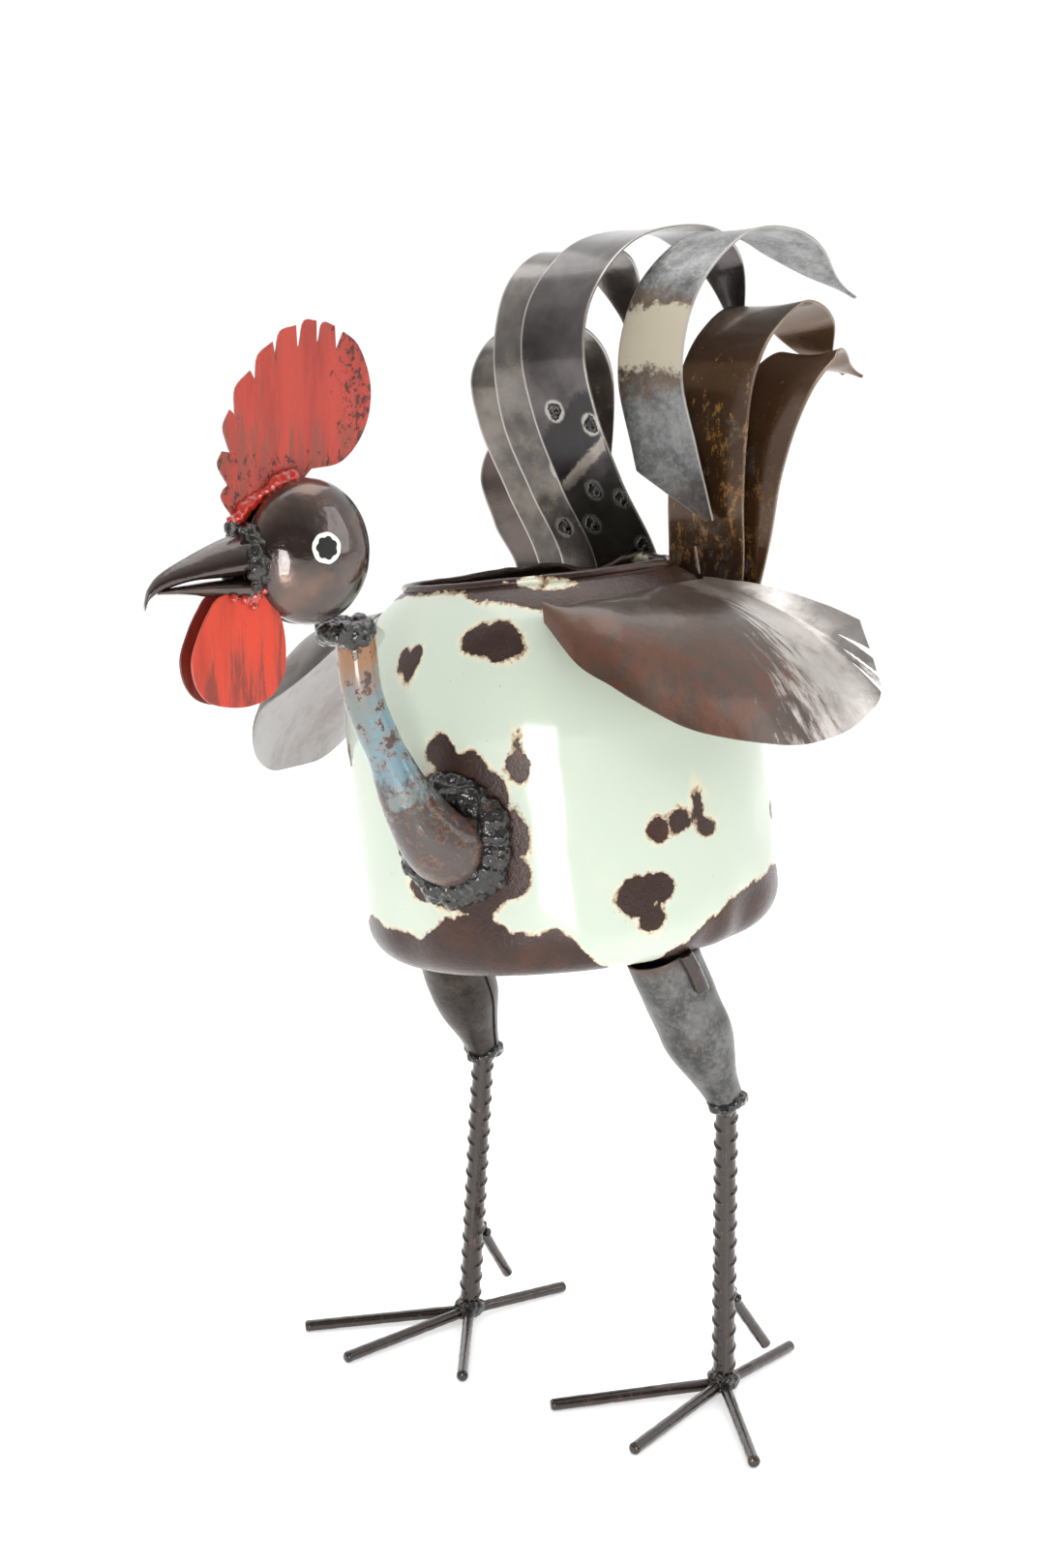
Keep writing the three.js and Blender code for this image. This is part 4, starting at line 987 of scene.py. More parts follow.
# Cross-sections of the beak: share of its length, then middle height, half width, rise and fall in mm.
UPPER_BEAK = [
    (0, -4, 16, 15, 7),
    (0.3, -7, 12, 12.5, 5),
    (0.6, -10.5, 8, 8.5, 3),
    (0.85, -14, 4.6, 4.6, 3.6),
    (0.96, -18, 2.8, 2.6, 3.4),
    (1, -24, 1.5, 2.2, 2.4),
]
LOWER_BEAK = [
    (0, -16, 13, 4.2, 7),
    (0.35, -16.2, 9.5, 3.2, 4.6),
    (0.7, -17, 5.5, 1.6, 2.4),
    (0.88, -18, 2.6, 0.7, 1.2),
]


def build_bill(name, rows, node, settings, ridge):
    """A beak half lofted through its cross-sections, with a pinched ridge."""
    around, along = 64, 60
    vertices, rubbed_and_sheen = [], []
    line = Path([Vector((share, z, half)) for share, z, half, _, _ in rows])
    skin = Path([Vector((rise, fall, 0)) for _, _, _, rise, fall in rows])
    for row in range(along + 1):
        t = row / along
        share, z, half = line.at(t)
        rise, fall, _ = skin.at(t)
        for column in range(around):
            turn = 2 * math.pi * column / around
            x, up = math.cos(turn), math.sin(turn)
            pinch = 1 - ridge * max(0.0, up) ** 2
            height = up * (rise if up > 0 else fall)
            point = mm(x * half * pinch, 0, z + height)
            point.y = -(BEAK_ROOT + share * BEAK_LENGTH)
            point.x += 0.35 * MM * rough(point, 12 * MM, ridge)
            vertices.append(HEAD @ point)
            rubbed_and_sheen.append(0.35 * ease(t, 0.72, 1.0))
    faces = capped(grid_faces(along + 1, around, wrap=True), along + 1, around)
    bill = make(name, vertices, faces, fields={"rubbed_and_sheen": rubbed_and_sheen})
    return place_on_bird(bill, dark_steel(settings), "dark_steel", node)


# The comb's outline, forward and up from the head's middle, in millimetres.
COMB_FOOT = [(3, 31), (15, 27.5), (25.5, 20), (33, 11)]
COMB_TEETH = [
    [(36.5, 16), (42, 25), (40.5, 29)],
    [(38.5, 30.5), (43.5, 40), (41, 46), (37, 45.5)],
    [(38, 47.5), (40.5, 57), (37, 65), (32, 60.5)],
    [(34.5, 63.5), (34, 75), (26.5, 83), (23, 76.5)],
    [(24, 79), (22.5, 90), (15, 96.5), (13.5, 88)],
    [(13.5, 92), (11, 101.5), (3, 104.5), (2.5, 94)],
    [(1.5, 95.5), (-1.5, 107), (-7.5, 107), (-7.5, 97)],
    [(-8.5, 98), (-11, 106.5), (-17, 105), (-17.5, 93.5)],
]
COMB_BACK = [
    (-21.5, 102.5), (-28, 98), (-33, 88.5), (-35.5, 77), (-34, 63), (-28, 50.5), (-18.5, 41.5),
    (-4, 38.5),
]
WATTLE = [
    (21, -19), (46.5, -20), (52, -27), (57.5, -38), (61, -50), (59, -61), (53, -68.5), (42, -71.5),
    (31, -71), (21.5, -67), (15, -58), (13.5, -47), (15, -33),
]
PLATE = 1.6 * MM
WATTLE_SPREAD = 14 * MM


def rounded(points, steps=6):
    """The same run of outline points with smooth stretches between them."""
    path = Path([Vector((*p, 0)) for p in points])
    count = (len(points) - 1) * steps
    return [path.at(i / count).to_2d() for i in range(count + 1)]


def tooth(points):
    """One comb tooth: a bowed front edge, then a short top."""
    front = rounded(points[:3], 4) if len(points) > 3 else rounded(points, 4)
    return [*front, *[Vector(p) for p in points[3:]]]


def build_plate(name, outline, aside, bow, material, node):
    """A flat painted plate standing in the head's middle plane, or `aside` from it."""
    vertices, flow = [], []
    for forward, up in outline:
        lean = bow * math.sin(up / 34)
        vertices.append(HEAD @ (mm(lean, -forward, up) + Vector((aside, 0, 0))))
        flow.append((forward * MM, up * MM))
    piece = make(name, vertices, [tuple(range(len(vertices)))], flow)
    for polygon in piece.data.polygons:
        polygon.use_smooth = False
    thicken(piece, PLATE, edge=0.28)
    return place_on_bird(piece, material, "red_paint", node)


def build_comb(settings):
    outline = [Vector(p) for p in COMB_FOOT]
    for points in COMB_TEETH:
        outline += tooth(points)
    outline += rounded(COMB_BACK)
    material = red_paint("Comb_red", settings.comb, (0.20, 0.055, 0.035), comb_wear)
    return build_plate("Comb", outline, 0.0, 0.0, material, "comb")


def comb_wear(r, forward, up):
    """Speckled wear down the comb's rear edge and along its foot, streaks up from the foot."""
    rear = r.step(forward, -6 * MM, -27 * MM)
    low = r.times(r.step(up, 56 * MM, 40 * MM), 0.8)
    return r.either(rear, low), r.times(r.step(up, 84 * MM, 40 * MM), 0.9)


def wattle_wear(r, forward, up):
    """Streaks that run up from the wattle's lower edge."""
    return r.times(r.step(up, -58 * MM, -72 * MM), 0.35), r.step(up, -34 * MM, -66 * MM)


def build_wattle(name, settings):
    outline = rounded([*WATTLE, WATTLE[0]], 5)[:-1]
    shaded_far_side = name == "right"
    # The far wattle's red is darkened to 0.30 of the near one's, as painted shade.
    color = [c * 0.30 for c in settings.wattle] if shaded_far_side else settings.wattle
    finish = red_paint(f"Wattle_red_{name}", color, (0.13, 0.02, 0.012), wattle_wear)
    aside = SIDES[name] * WATTLE_SPREAD / 2
    return build_plate(f"Wattle_{name}", outline, aside, 0.0, finish, f"wattle_{name}")


EYE_RADIUS = 7.2 * MM
EYE_HEIGHT = 2 * MM
LOBES = 7


def lobed(radius, depth, turn):
    return radius - depth * abs(math.cos(LOBES * turn / 2)) ** 3


def on_eye(side, turn, reach, lift):
    """A point on the eye, `reach` from its middle and `lift` above the head's skin."""
    y, z = reach * math.cos(turn), EYE_HEIGHT + reach * math.sin(turn)
    rim = math.hypot(y / HEAD_LONG, z / HEAD_TALL) * 2
    out = HEAD_BAND / 2 + TOUCH + DISC_DEPTH * math.sqrt(max(0.0, 1 - rim * rim))
    return HEAD @ Vector((side * (out + lift), y, z))


def build_eye(name, settings):
    side = SIDES[name]
    around = 140
    ring, rows = [], ((0.0, 0.3), (0.25, 0.8), (0.5, 0.95), (0.75, 0.8), (1.0, 0.3))
    for share, lift in rows:
        for column in range(around):
            turn = 2 * math.pi * column / around
            wobble = 0.35 * MM * noise.noise(Vector((math.cos(turn), math.sin(turn), side)) * 2.1)
            outer = EYE_RADIUS + wobble
            inner = lobed(EYE_RADIUS - 1.6 * MM, 0.75 * MM, turn)
            ring.append(on_eye(side, turn, blend(outer, inner, share), lift * MM))
    white = make(f"Eye_ring_{name}", ring, grid_faces(len(rows), around, wrap=True))
    thicken(white, 0.4 * MM, edge=0.1)
    place_on_bird(white, eye_white(settings), "white_paint", f"eye_ring_{name}")
    pupil = []
    for share in (1.0, 0.7, 0.35, 0.05):
        for column in range(around):
            turn = 2 * math.pi * column / around
            reach = lobed(EYE_RADIUS - 1.5 * MM, 0.75 * MM, turn) * share
            pupil.append(on_eye(side, turn, reach, 0.35 * MM))
    faces = grid_faces(4, around, wrap=True)
    faces.append(tuple(range(3 * around, 4 * around)))
    black = make(f"Eye_pupil_{name}", pupil, faces)
    thicken(black, 0.4 * MM, edge=0.1)
    return place_on_bird(black, eye_black(), "black_paint", f"eye_pupil_{name}")


def build_beak_weld(settings):
    balls = []
    for i in range(84):
        turn = 2 * math.pi * i * 0.618
        swell = 0.8 + 0.7 * noise.noise(Vector((i * 1.3, 2, 5)))
        back = 9.0 * noise.noise(Vector((i * 0.6, 1, 9)))
        reach = 15.0 - 0.35 * back + 1.4 * noise.noise(Vector((i * 0.8, 7, 1)))
        middle = mm(reach * math.cos(turn), -30.5 + back, -5 + 1.06 * reach * math.sin(turn))
        balls.append(ball(HEAD @ middle, 3.7 * MM * swell))
    weld = lumps("Beak_weld", balls, pitting=0.6 * MM, seed=4.0)
    return place_on_bird(weld, weld_metal(settings), "weld", "beak_weld")


def build_neck_top_weld(settings):
    balls = []
    for i in range(60):
        swing = i * 2.4
        spread = 11.0 * math.sqrt((i + 1) / 60)
        drop = 11 * noise.noise(Vector((i * 0.7, 4, 4)))
        middle = NECK_TOP + mm(spread * math.cos(swing), -7 + 1.1 * spread * math.sin(swing), 3 + drop)
        balls.append(ball(middle, (4.4 + 2.4 * noise.noise(Vector((i, 1, 2)) * 0.7)) * MM))
    weld = lumps("Neck_top_weld", balls, pitting=0.6 * MM, seed=6.0)
    return place_on_bird(weld, weld_metal(settings), "weld", "neck_top_weld")


# Blobs at a wattle's top: forward and up from the head's middle, and radius, in millimetres.
WATTLE_SPOTS = [
    (24, -17, 2.6), (29, -20, 3.2), (34, -21.5, 2.6), (40, -21, 2.4), (20, -19, 2.0), (30, -25, 2.2),
]


def build_paint_drips(settings):
    """Blobs of wet red paint over the welds at the comb's foot and the wattles' tops."""
    comb = []
    for i in range(30):
        share = i / 29
        wander = 3.2 * noise.noise(Vector((i * 0.8, 6, 2)))
        middle = mm(3.4 * math.sin(i * 2.1), -(7 + 29 * share) + wander, 35 - 20 * share**1.4)
        comb.append(ball(HEAD @ middle, (2.9 + 1.3 * math.sin(i * 1.9)) * MM))
    drips = lumps("Comb_foot_paint", comb, pitting=0.3 * MM, seed=8.0)
    place_on_bird(drips, wet_red_paint(settings), "red_paint")
    for name, side in SIDES.items():
        aside = WATTLE_SPREAD / 2 / MM
        blobs = [ball(HEAD @ mm(side * (aside + 1.5), -y, z), r * MM) for y, z, r in WATTLE_SPOTS]
        blob = lumps(f"Wattle_root_paint_{name}", blobs, pitting=0.3 * MM, seed=9.0 + side)
        place_on_bird(blob, wet_red_paint(settings), "red_paint")
    return drips


# ---------------------------------------------------------------- wings
WING_SPREAD = {"left": 65 * MM, "right": 84 * MM}
WING_DROP = {"left": 75 * MM, "right": 84 * MM}
WING_ROOT_UP = 186 * MM
WING_FRONT = 38
WING_REAR = 124
# The outer edge from front to rear: azimuth, distance out as a share of the spread, share of the drop.
WING_EDGE = [
    (38, -0.1, 0.02), (44, 0.28, 0.3), (49.6, 0.55, 0.47), (61, 0.68, 0.76), (77, 0.84, 0.97),
    (91, 0.93, 1), (100, 1, 0.93), (104.5, 1.08, 0.8), (105, 1.05, 0.6), (107.5, 0.93, 0.28),
]
SLITS = (0.8, 0.86, 0.92)
SLIT_START = 0.8
# How much copper colour, where the bright rear starts, and how bright the silver is painted: lighter on the
# near wing and darker on the far wing, as painted light and shade.
WING_LOOKS = {"left": (1.0, 0.68, 1.15), "right": (0.35, 0.12, 0.5)}


def wing_surface(name):
    side = SIDES[name]
    edge = []
    for azimuth, out, down in WING_EDGE:
        reach = POT_RADIUS + out * WING_SPREAD[name]
        turn = math.radians(azimuth)
        up = WING_ROOT_UP - 2 * MM - down * WING_DROP[name]
        edge.append(Vector((reach * math.sin(turn), -reach * math.cos(turn), up)))
    outer = Path(edge)

    def place(u, v):
        along = clamp(v)
        azimuth = WING_FRONT + (WING_REAR - WING_FRONT) * v
        lift = 8 * MM * math.sin(2.5 * min(along, 0.9))
        root = on_pot(azimuth, WING_ROOT_UP + lift, 1.4 * MM)
        point = root.lerp(outer.at(along), 0.03 + 0.97 * u)
        belly = 4 * u * (1 - u) * (0.25 + 0.75 * math.sin(math.pi * min(along + 0.12, 1)))
        turn = math.radians(azimuth)
        point += mm(7 * math.sin(turn), -7 * math.cos(turn), 15) * belly
        ripple = 1.1 * ease(u, 0.55, 1.0) * noise.noise(Vector((v * 13, side * 3, u)))
        hammer = 0.9 * noise.noise(Vector((u * 4, v * 9, side)))
        point.z += (ripple + hammer) * ease(u, 0.03, 0.2) * MM
        return POT @ Vector((side * point.x, point.y, point.z))

    return place


def build_wing(name, settings):
    place = wing_surface(name)
    wing = sheet(f"Wing_{name}", place, 56, 120)
    thicken(wing, settings.sheet, edge=0.25)
    wing.modifiers.remove(wing.modifiers["Edges"])
    cutters = []
    for at in SLITS:
        def slit(u, v, at=at):
            return place(SLIT_START + 0.3 * v, at + (u - 0.5) * 0.024 * (0.2 + v))

        cutter = sheet("Slit", slit, 2, 8)
        cutter.modifiers.new("Thickness", "SOLIDIFY").thickness = 12 * MM
        cutter.modifiers["Thickness"].offset = 0
        cutters.append(settle(cutter))
    settle(wing)
    cut_away(wing, cutters)
    wing.data.shade_smooth()
    wing.data.set_sharp_from_angle(angle=math.radians(40))
    finish = wing_steel(f"Wing_steel_{name}", settings, *WING_LOOKS[name])
    return place_on_bird(wing, finish, "wing_steel", f"wing_{name}")


# ---------------------------------------------------------------- tail
CREAM_PATCH_AT = 0.30  # share of the way along the zinc strip where old cream paint is left
TAIL_STRIPS = {
    "tail_strip_1": (44, [
        (-62, 84, -38), (-66, 94, 0), (-79, 88, 30), (-88, 88, 56), (-90, 100, 72), (-91, 120, 72),
        (-92, 142, 50), (-93, 154, 14),
    ]),
    "tail_strip_2": (44, [
        (-39, 80, -34), (-43, 87, 0), (-57, 73, 46), (-66, 58, 84), (-68, 54, 112), (-67, 72, 134),
        (-66, 104, 139), (-66, 134, 118), (-66, 152, 84), (-67, 162, 44),
    ]),
    "tail_strip_3": (45, [
        (-20, 79, -30), (-22, 82, 4), (-33, 66, 45), (-41, 49, 85), (-42, 43, 126), (-42, 54, 160),
        (-40, 84, 182), (-39, 118, 177), (-38, 142, 150), (-38, 152, 108),
    ]),
    "tail_strip_4": (44, [
        (6, 79, -26), (4, 79, 4), (-5, 57, 47), (-12, 40, 88), (-15, 33, 120), (-14, 39, 150),
        (-10, 69, 181), (-4, 108, 194), (2, 144, 194), (8, 170, 178), (11, 182, 150), (12, 188, 118),
    ]),
    "tail_strip_5": (43, [
        (46, 73, 24), (40, 64, 66), (35, 57, 105), (36, 61, 137), (40, 76, 164), (46, 110, 188),
        (53, 146, 191), (58, 174, 182), (63, 198, 170), (70, 222, 160),
    ]),
    "tail_strip_6": (50, [
        (52, 80, -52), (56, 83, 0), (58, 79, 36), (60, 79, 76), (62, 84, 108), (65, 98, 131),
        (70, 126, 148), (77, 150, 138), (82, 162, 122), (87, 180, 112),
    ]),
    "tail_strip_7": (46, [
        (56, 84, -64), (62, 90, -16), (72, 88, 18), (79, 87, 52), (86, 92, 82), (93, 104, 106),
        (100, 122, 119), (108, 138, 113), (116, 150, 108),
    ]),
}
SLANTED_FOOT = "tail_strip_5"


def strip_path(name):
    return Path([MOUTH + mm(*p) for p in TAIL_STRIPS[name][1]])


def strip_surface(name):
    """One bent strip: it narrows to a point at its free end, and one has its foot cut at a slant."""
    width = TAIL_STRIPS[name][0] * MM
    path = strip_path(name)

    def place(u, v):
        share = clamp(v)
        way = path.direction(share)
        across = (Vector((1, 0, 0)) - way * way.x).normalized()
        tip = ease(1 - share, 0, 0.28)
        foot = clamp(0.12 + share / 0.1) if name == SLANTED_FOOT else 1.0
        wide = width * (0.05 + 0.95 * tip) * foot
        shift = width * (1 - foot) / 2
        sway = 0.45 * MM * noise.noise(Vector((share * 9, u * 1.2, width * 99)))
        point = path.at(share) + across * ((u - 0.5) * wide + shift + sway)
        crown = way.cross(across) * 0.9 * MM * (1 - (2 * u - 1) ** 2)
        return off_pot(point + crown, 1.0 * MM)

    return place


# Marks on the strips, as shares of the width and of the length.
PLUGS = {
    "tail_strip_3": [(0.6, 0.25), (0.25, 0.17)],
    "tail_strip_4": [(0.35, 0.275), (0.86, 0.25), (0.5, 0.175), (0.88, 0.16), (0.2, 0.14), (0.86, 0.105)],
}
SCRAPES = {"tail_strip_4": ((0.12, 0.188), (1.0, 0.228))}
BURNS = {"tail_strip_4": ((0.1, 0.222), (0.9, 0.262))}
FAR = 1.0  # metres; stands for no mark at all
PLUG_RADIUS = 3.6 * MM
PLUG_LUMPS = 14


def plug_distance(name):
    """Metres from a place on a strip to its nearest plug weld."""
    place = strip_surface(name)
    middles = [place(u, v) for u, v in PLUGS.get(name, [])]
    return lambda u, v: min([FAR, *((place(u, v) - middle).length for middle in middles)])


def line_distance(name, lines):
    """Metres from a place on a strip to its line in `lines`."""
    if name not in lines:
        return lambda u, v: FAR
    place = strip_surface(name)
    start, end = [place(u, v) for u, v in lines[name]]
    run = end - start

    def rule(u, v):
        seen = place(u, v) - start
        return (seen - run * clamp(seen.dot(run) / run.dot(run))).length

    return rule


def build_plugs(name, settings):
    """Plug welds that stand a little proud of a strip, each a lump inside a raised ring."""
    place = strip_surface(name)
    balls = []
    for u, v in PLUGS[name]:
        middle = place(u, v)
        across = (place(u + 0.05, v) - middle).normalized()
        along = (place(u, v + 0.01) - middle).normalized()
        out = across.cross(along)
        for i in range(PLUG_LUMPS):
            turn = 2 * math.pi * i / PLUG_LUMPS
            reach = PLUG_RADIUS + 0.6 * math.sin(3 * turn + u * 20) * MM
            rim = middle + across * (math.cos(turn) * reach) + along * (math.sin(turn) * reach * 1.15)
            balls.append(ball(rim + out * 0.3 * MM, 1.15 * MM))
        balls.append(ball(middle + (across * 0.8 - along) * MM, 2.2 * MM, 0.9))
    plugs = lumps(f"Plug_welds_{name[-1]}", balls, voxel=0.5 * MM, pitting=0.35 * MM, seed=17.0)
    return place_on_bird(plugs, weld_metal(settings), "weld")


# Light and dark clouds (none means the settings' own), smudges, amount of speckle and seed.
TAIL_LOOKS = {
    "tail_strip_1": ((0.13, 0.095, 0.082), None, (0.11, 0.065, 0.045), 0.15, 1.0),
    "tail_strip_2": ((0.20, 0.175, 0.15), None, (0.22, 0.185, 0.13), 0.3, 2.0),
    "tail_strip_3": (None, None, (0.25, 0.21, 0.15), 0.3, 3.0),
    "tail_strip_4": ((0.11, 0.095, 0.095), (0.035, 0.028, 0.028), (0.10, 0.08, 0.072), 0.25, 4.0),
}
# Amount of orange bloom, and seed.
RUST_LOOKS = {"tail_strip_6": (0.9, 7.0), "tail_strip_7": (0.45, 11.0)}
ZINC_TONE = (0.27, 0.275, 0.27)


def tail_finish(name, settings):
    if name in TAIL_LOOKS:
        light, dark, stain, speckle, seed = TAIL_LOOKS[name]
        light = light or settings.light
        dark = dark or settings.dark
        return tail_steel(f"Tail_steel_{name[-1]}", light, dark, stain, speckle, seed)
    if name in RUST_LOOKS:
        return rusty_steel(f"Tail_rust_{name[-1]}", *RUST_LOOKS[name])
    return galvanised_steel("Tail_zinc", 6.0, ZINC_TONE, patch=1.0)


def build_tail_strip(name, settings):
    marks = {
        "plug": plug_distance(name),
        "scrape": line_distance(name, SCRAPES),
        "burn": line_distance(name, BURNS),
    }
    strip = sheet(name.capitalize(), strip_surface(name), 24, 180, marks)
    thicken(strip, settings.sheet)
    slot = "rusty_steel" if name in RUST_LOOKS else "tail_steel"
    return place_on_bird(strip, tail_finish(name, settings), slot, name)


def strip_foot(name):
    """Where a strip's middle line comes out of the pot."""
    path = strip_path(name)
    for step in range(250):
        seen = TO_POT @ path.at(step / 250)
        if math.hypot(seen.x, seen.y) > pot_radius(seen.z) + TOUCH:
            return path.at(step / 250)
    return path.at(0)


def build_tail_weld(name, node, strips, settings):
    """A run of weld behind the feet of several strips."""
    feet = [strip_foot(s) + mm(0, 5, 0.5) for s in strips]
    feet = [feet[0] + mm(-14, -2, -2), *feet, feet[-1] + mm(14, -2, -2)]
    path = Path(feet)
    count = 13 * len(feet)
    balls = []
    for i in range(count + 1):
        swell = 0.85 + 0.4 * noise.noise(Vector((i * 0.9, 4, 2)))
        balls.append(ball(off_pot(path.at(i / count), 1.6 * MM), 3.7 * MM * swell))
    weld = lumps(name, balls, pitting=0.5 * MM, seed=12.0)
    return place_on_bird(weld, weld_metal(settings), "weld", node)


# ---------------------------------------------------------------- legs
KNEE_HEIGHT = 166 * MM
KNEE_LEAN = {"left": mm(-1, 1, 0), "right": mm(6, 7, 0)}
HIP_INSET = 15 * MM
HIP_FORWARD = 44 * MM
THIGH_TOP_RADIUS = 19.5 * MM
THIGH_KNEE_RADIUS = 10 * MM
THIGH_WALL = 1.3 * MM
THIGH_TAPER_FROM = 0.5
THIGH_TONES = {"left": (0.17, 0.168, 0.162), "right": (0.055, 0.043, 0.036)}
STRUT_OUT = 20 * MM
STRUT_FORWARD = 7 * MM
STRUT_LENGTH = 27 * MM
REBAR_RADIUS = 6 * MM
REBAR_RIB = 0.9 * MM
RIB_PITCH = 10 * MM
TOE_RADIUS = 3.3 * MM
TOE_LENGTH = 100 * MM
BACK_TOE_LENGTH = 73 * MM
HUB_RADIUS = 9.5 * MM
HUB_HEIGHT = 13 * MM
SPUR_UP = 52 * MM
SPUR_BACK = 38 * MM
SPUR_DROP = 36 * MM
TOES = {
    "left": {"outer": 41.7, "middle": 4.9, "inner": -36.5, "back": 180.4},
    "right": {"outer": -38.8, "middle": -6, "inner": 36.9, "back": 165.1},
}


def foot_of(name):
    return Vector((FOOT[name].x, FOOT[name].y, 0))


def knee_of(name):
    return foot_of(name) + KNEE_LEAN[name] + Vector((0, 0, KNEE_HEIGHT))


def hip_of(name):
    return foot_of(name) + Vector((-SIDES[name] * HIP_INSET, -HIP_FORWARD, POT_FLOOR + 6 * MM))


def build_thigh(name, settings):
    """A rolled sheet tube that overlaps itself along a seam and is cut ragged at the knee."""
    side = SIDES[name]
    hip, knee = hip_of(name), knee_of(name)
    way = (knee - hip).normalized()
    across = (Vector((1, 0, 0)) - way * way.x).normalized()
    up = way.cross(across)
    turns = 1.07
    seam = math.radians(200 if side > 0 else 330)

    def place(u, v):
        angle = seam + 2 * math.pi * turns * u
        ragged = 0.028 * math.sin(angle * 1.0 + 0.6) + 0.012 * noise.noise(Vector((angle * 2, side, 0)))
        share = clamp(v * (1 + (ragged if v > 0.5 else 0)), 0, 1.06)
        taper = ease(share, THIGH_TAPER_FROM, 1)
        radius = blend(THIGH_TOP_RADIUS, THIGH_KNEE_RADIUS, taper) - THIGH_WALL / 2
        dented = 1 + 0.045 * noise.noise(Vector((math.cos(angle), math.sin(angle), v * 3.5 + side)) * 1.4)
        spiral = 1.0 * MM * (u - 0.5)
        out = across * math.cos(angle) + up * math.sin(angle)
        point = hip.lerp(knee, share) + out * (radius * dented + spiral)
        return below_pot(point)

    thigh = sheet(f"Thigh_{name}", place, 90, 60)
    thicken(thigh, THIGH_WALL)
    finish = galvanised_steel(f"Thigh_zinc_{name}", 5.0 + 4 * side, THIGH_TONES[name])
    return place_on_bird(thigh, finish, "galvanised", f"thigh_{name}")


def below_pot(point):
    """The same point, lowered to the pot's underside if it was inside the pot."""
    seen = TO_POT @ point
    flat = math.hypot(seen.x, seen.y)
    corner = max(0.0, flat - (POT_RADIUS - POT_CORNER))
    floor = POT_CORNER - math.sqrt(max(0.0, POT_CORNER**2 - corner**2)) - TOUCH
    if seen.z <= floor:
        return point
    return POT @ Vector((seen.x, seen.y, floor))


SKIN_GRAIN = 6 * MM


def rod_radius(radius, length, seed):
    """Radius rule for a cut rod with slightly rounded ends and an uneven skin."""

    def rule(angle, share):
        end = min(share, 1 - share) * length
        chamfer = math.sqrt(max(0.0, 1 - (1 - clamp(end / (0.9 * MM))) ** 2))
        along = share * length / SKIN_GRAIN + seed
        skin = 1 + 0.05 * noise.noise(Vector((math.cos(angle), math.sin(angle), along)))
        return radius * blend(0.72, 1.0, chamfer) * skin * (1 if end > 0 else 0.98)

    return rule


def build_rod(name, start, end, radius, node, settings, bow=0.0):
    seed = sum(start) * 40
    middle = (start + end) / 2 + mm(bow, bow * 0.5, 0)
    path = Path([start, middle, end])
    length = (end - start).length
    bar = tube(name, path, rod_radius(radius, length, seed), 24, 70, side=Vector((0.2, 0.1, 1)))
    return place_on_bird(bar, lacquered_bar(settings), "lacquered_rod", node)


def build_strut(name, settings):
    side = SIDES[name]
    hip, knee = hip_of(name), knee_of(name)
    way = (knee - hip).normalized()
    top = hip + Vector((side * STRUT_OUT, -STRUT_FORWARD, 4 * MM))
    foot = top + way * STRUT_LENGTH
    start = below_pot(top)
    return build_rod(
        f"Hip_strut_{name}", start, foot, TOE_RADIUS + 0.6 * MM, f"hip_strut_{name}", settings, 0.6
    )


def build_knee_weld(name, settings):
    knee = knee_of(name)
    balls = []
    for i in range(18):
        turn = 2 * math.pi * i / 18
        swell = 0.9 + 0.4 * noise.noise(Vector((i * 1.1, SIDES[name] * 4, 3)))
        middle = knee + mm(8.2 * math.cos(turn), 8.2 * math.sin(turn), -1 + 3 * math.sin(2 * turn + 1))
        balls.append(ball(middle, 4.2 * MM * swell))
    weld = lumps(f"Knee_weld_{name}", balls, voxel=0.6 * MM, pitting=0.5 * MM, seed=14.0)
    return place_on_bird(weld, weld_metal(settings), "weld", f"knee_weld_{name}")


def build_shank(name, settings):
    """Reinforcing bar with two rows of slanted crescent ribs and two long ribs."""
    start = foot_of(name) + Vector((0, 0, HUB_HEIGHT * 0.5))
    end = knee_of(name) + mm(0, 0, 5)
    length = (end - start).length
    facing = math.radians(-54)  # one long rib is turned this way

    def radius(angle, share):
        height = share * length
        turned = angle - facing
        rib = 0.0
        for row in (0, 1):
            middle = math.pi / 2 + row * math.pi
            off = (turned - middle + math.pi) % (2 * math.pi) - math.pi
            if abs(off) > math.radians(80):
                continue
            slant = height + off * REBAR_RADIUS * (0.55 if row else -0.55) + row * RIB_PITCH / 2
            away = (slant + RIB_PITCH / 2) % RIB_PITCH - RIB_PITCH / 2
            crescent = math.cos(off * 90 / 80)
            rib = max(rib, crescent * math.exp(-((away / (1.25 * MM)) ** 2)))
        for middle in (0, math.pi):
            off = (turned - middle + math.pi) % (2 * math.pi) - math.pi
            rib = max(rib, 0.85 * math.exp(-((off * REBAR_RADIUS / (0.95 * MM)) ** 2)))
        return REBAR_RADIUS * 0.97 + REBAR_RIB * 1.15 * rib

    path = Path([start, (start + end) / 2, end])
    bar = tube(f"Shank_{name}", path, radius, 60, 330, side=Vector((1, 0, 0)))
    return place_on_bird(bar, lacquered_bar(settings), "lacquered_rod", f"shank_{name}")


def build_foot_weld(name, settings):
    foot = foot_of(name)
    balls = [(foot + mm(0, 0, 5.6), Vector((8.4, 8.4, 5.6)) * MM)]
    for angle in TOES[name].values():
        way = Vector((math.sin(math.radians(angle)), -math.cos(math.radians(angle)), 0))
        balls.append(ball(foot + way * HUB_RADIUS * 0.86 + mm(0, 0, 4.6), 3.7 * MM))
    for i in range(9):
        turn = i * 2.4
        middle = mm(6.6 * math.cos(turn), 6.6 * math.sin(turn), 9 + 1.5 * math.sin(i * 1.3))
        balls.append(ball(foot + middle, 3.0 * MM))
    weld = lumps(f"Foot_weld_{name}", balls, voxel=0.6 * MM, pitting=0.5 * MM, seed=16.0)
    for v in weld.data.vertices:
        v.co.z = max(v.co.z, 0.0)
    return place_on_bird(weld, weld_metal(settings), "weld", f"foot_weld_{name}")


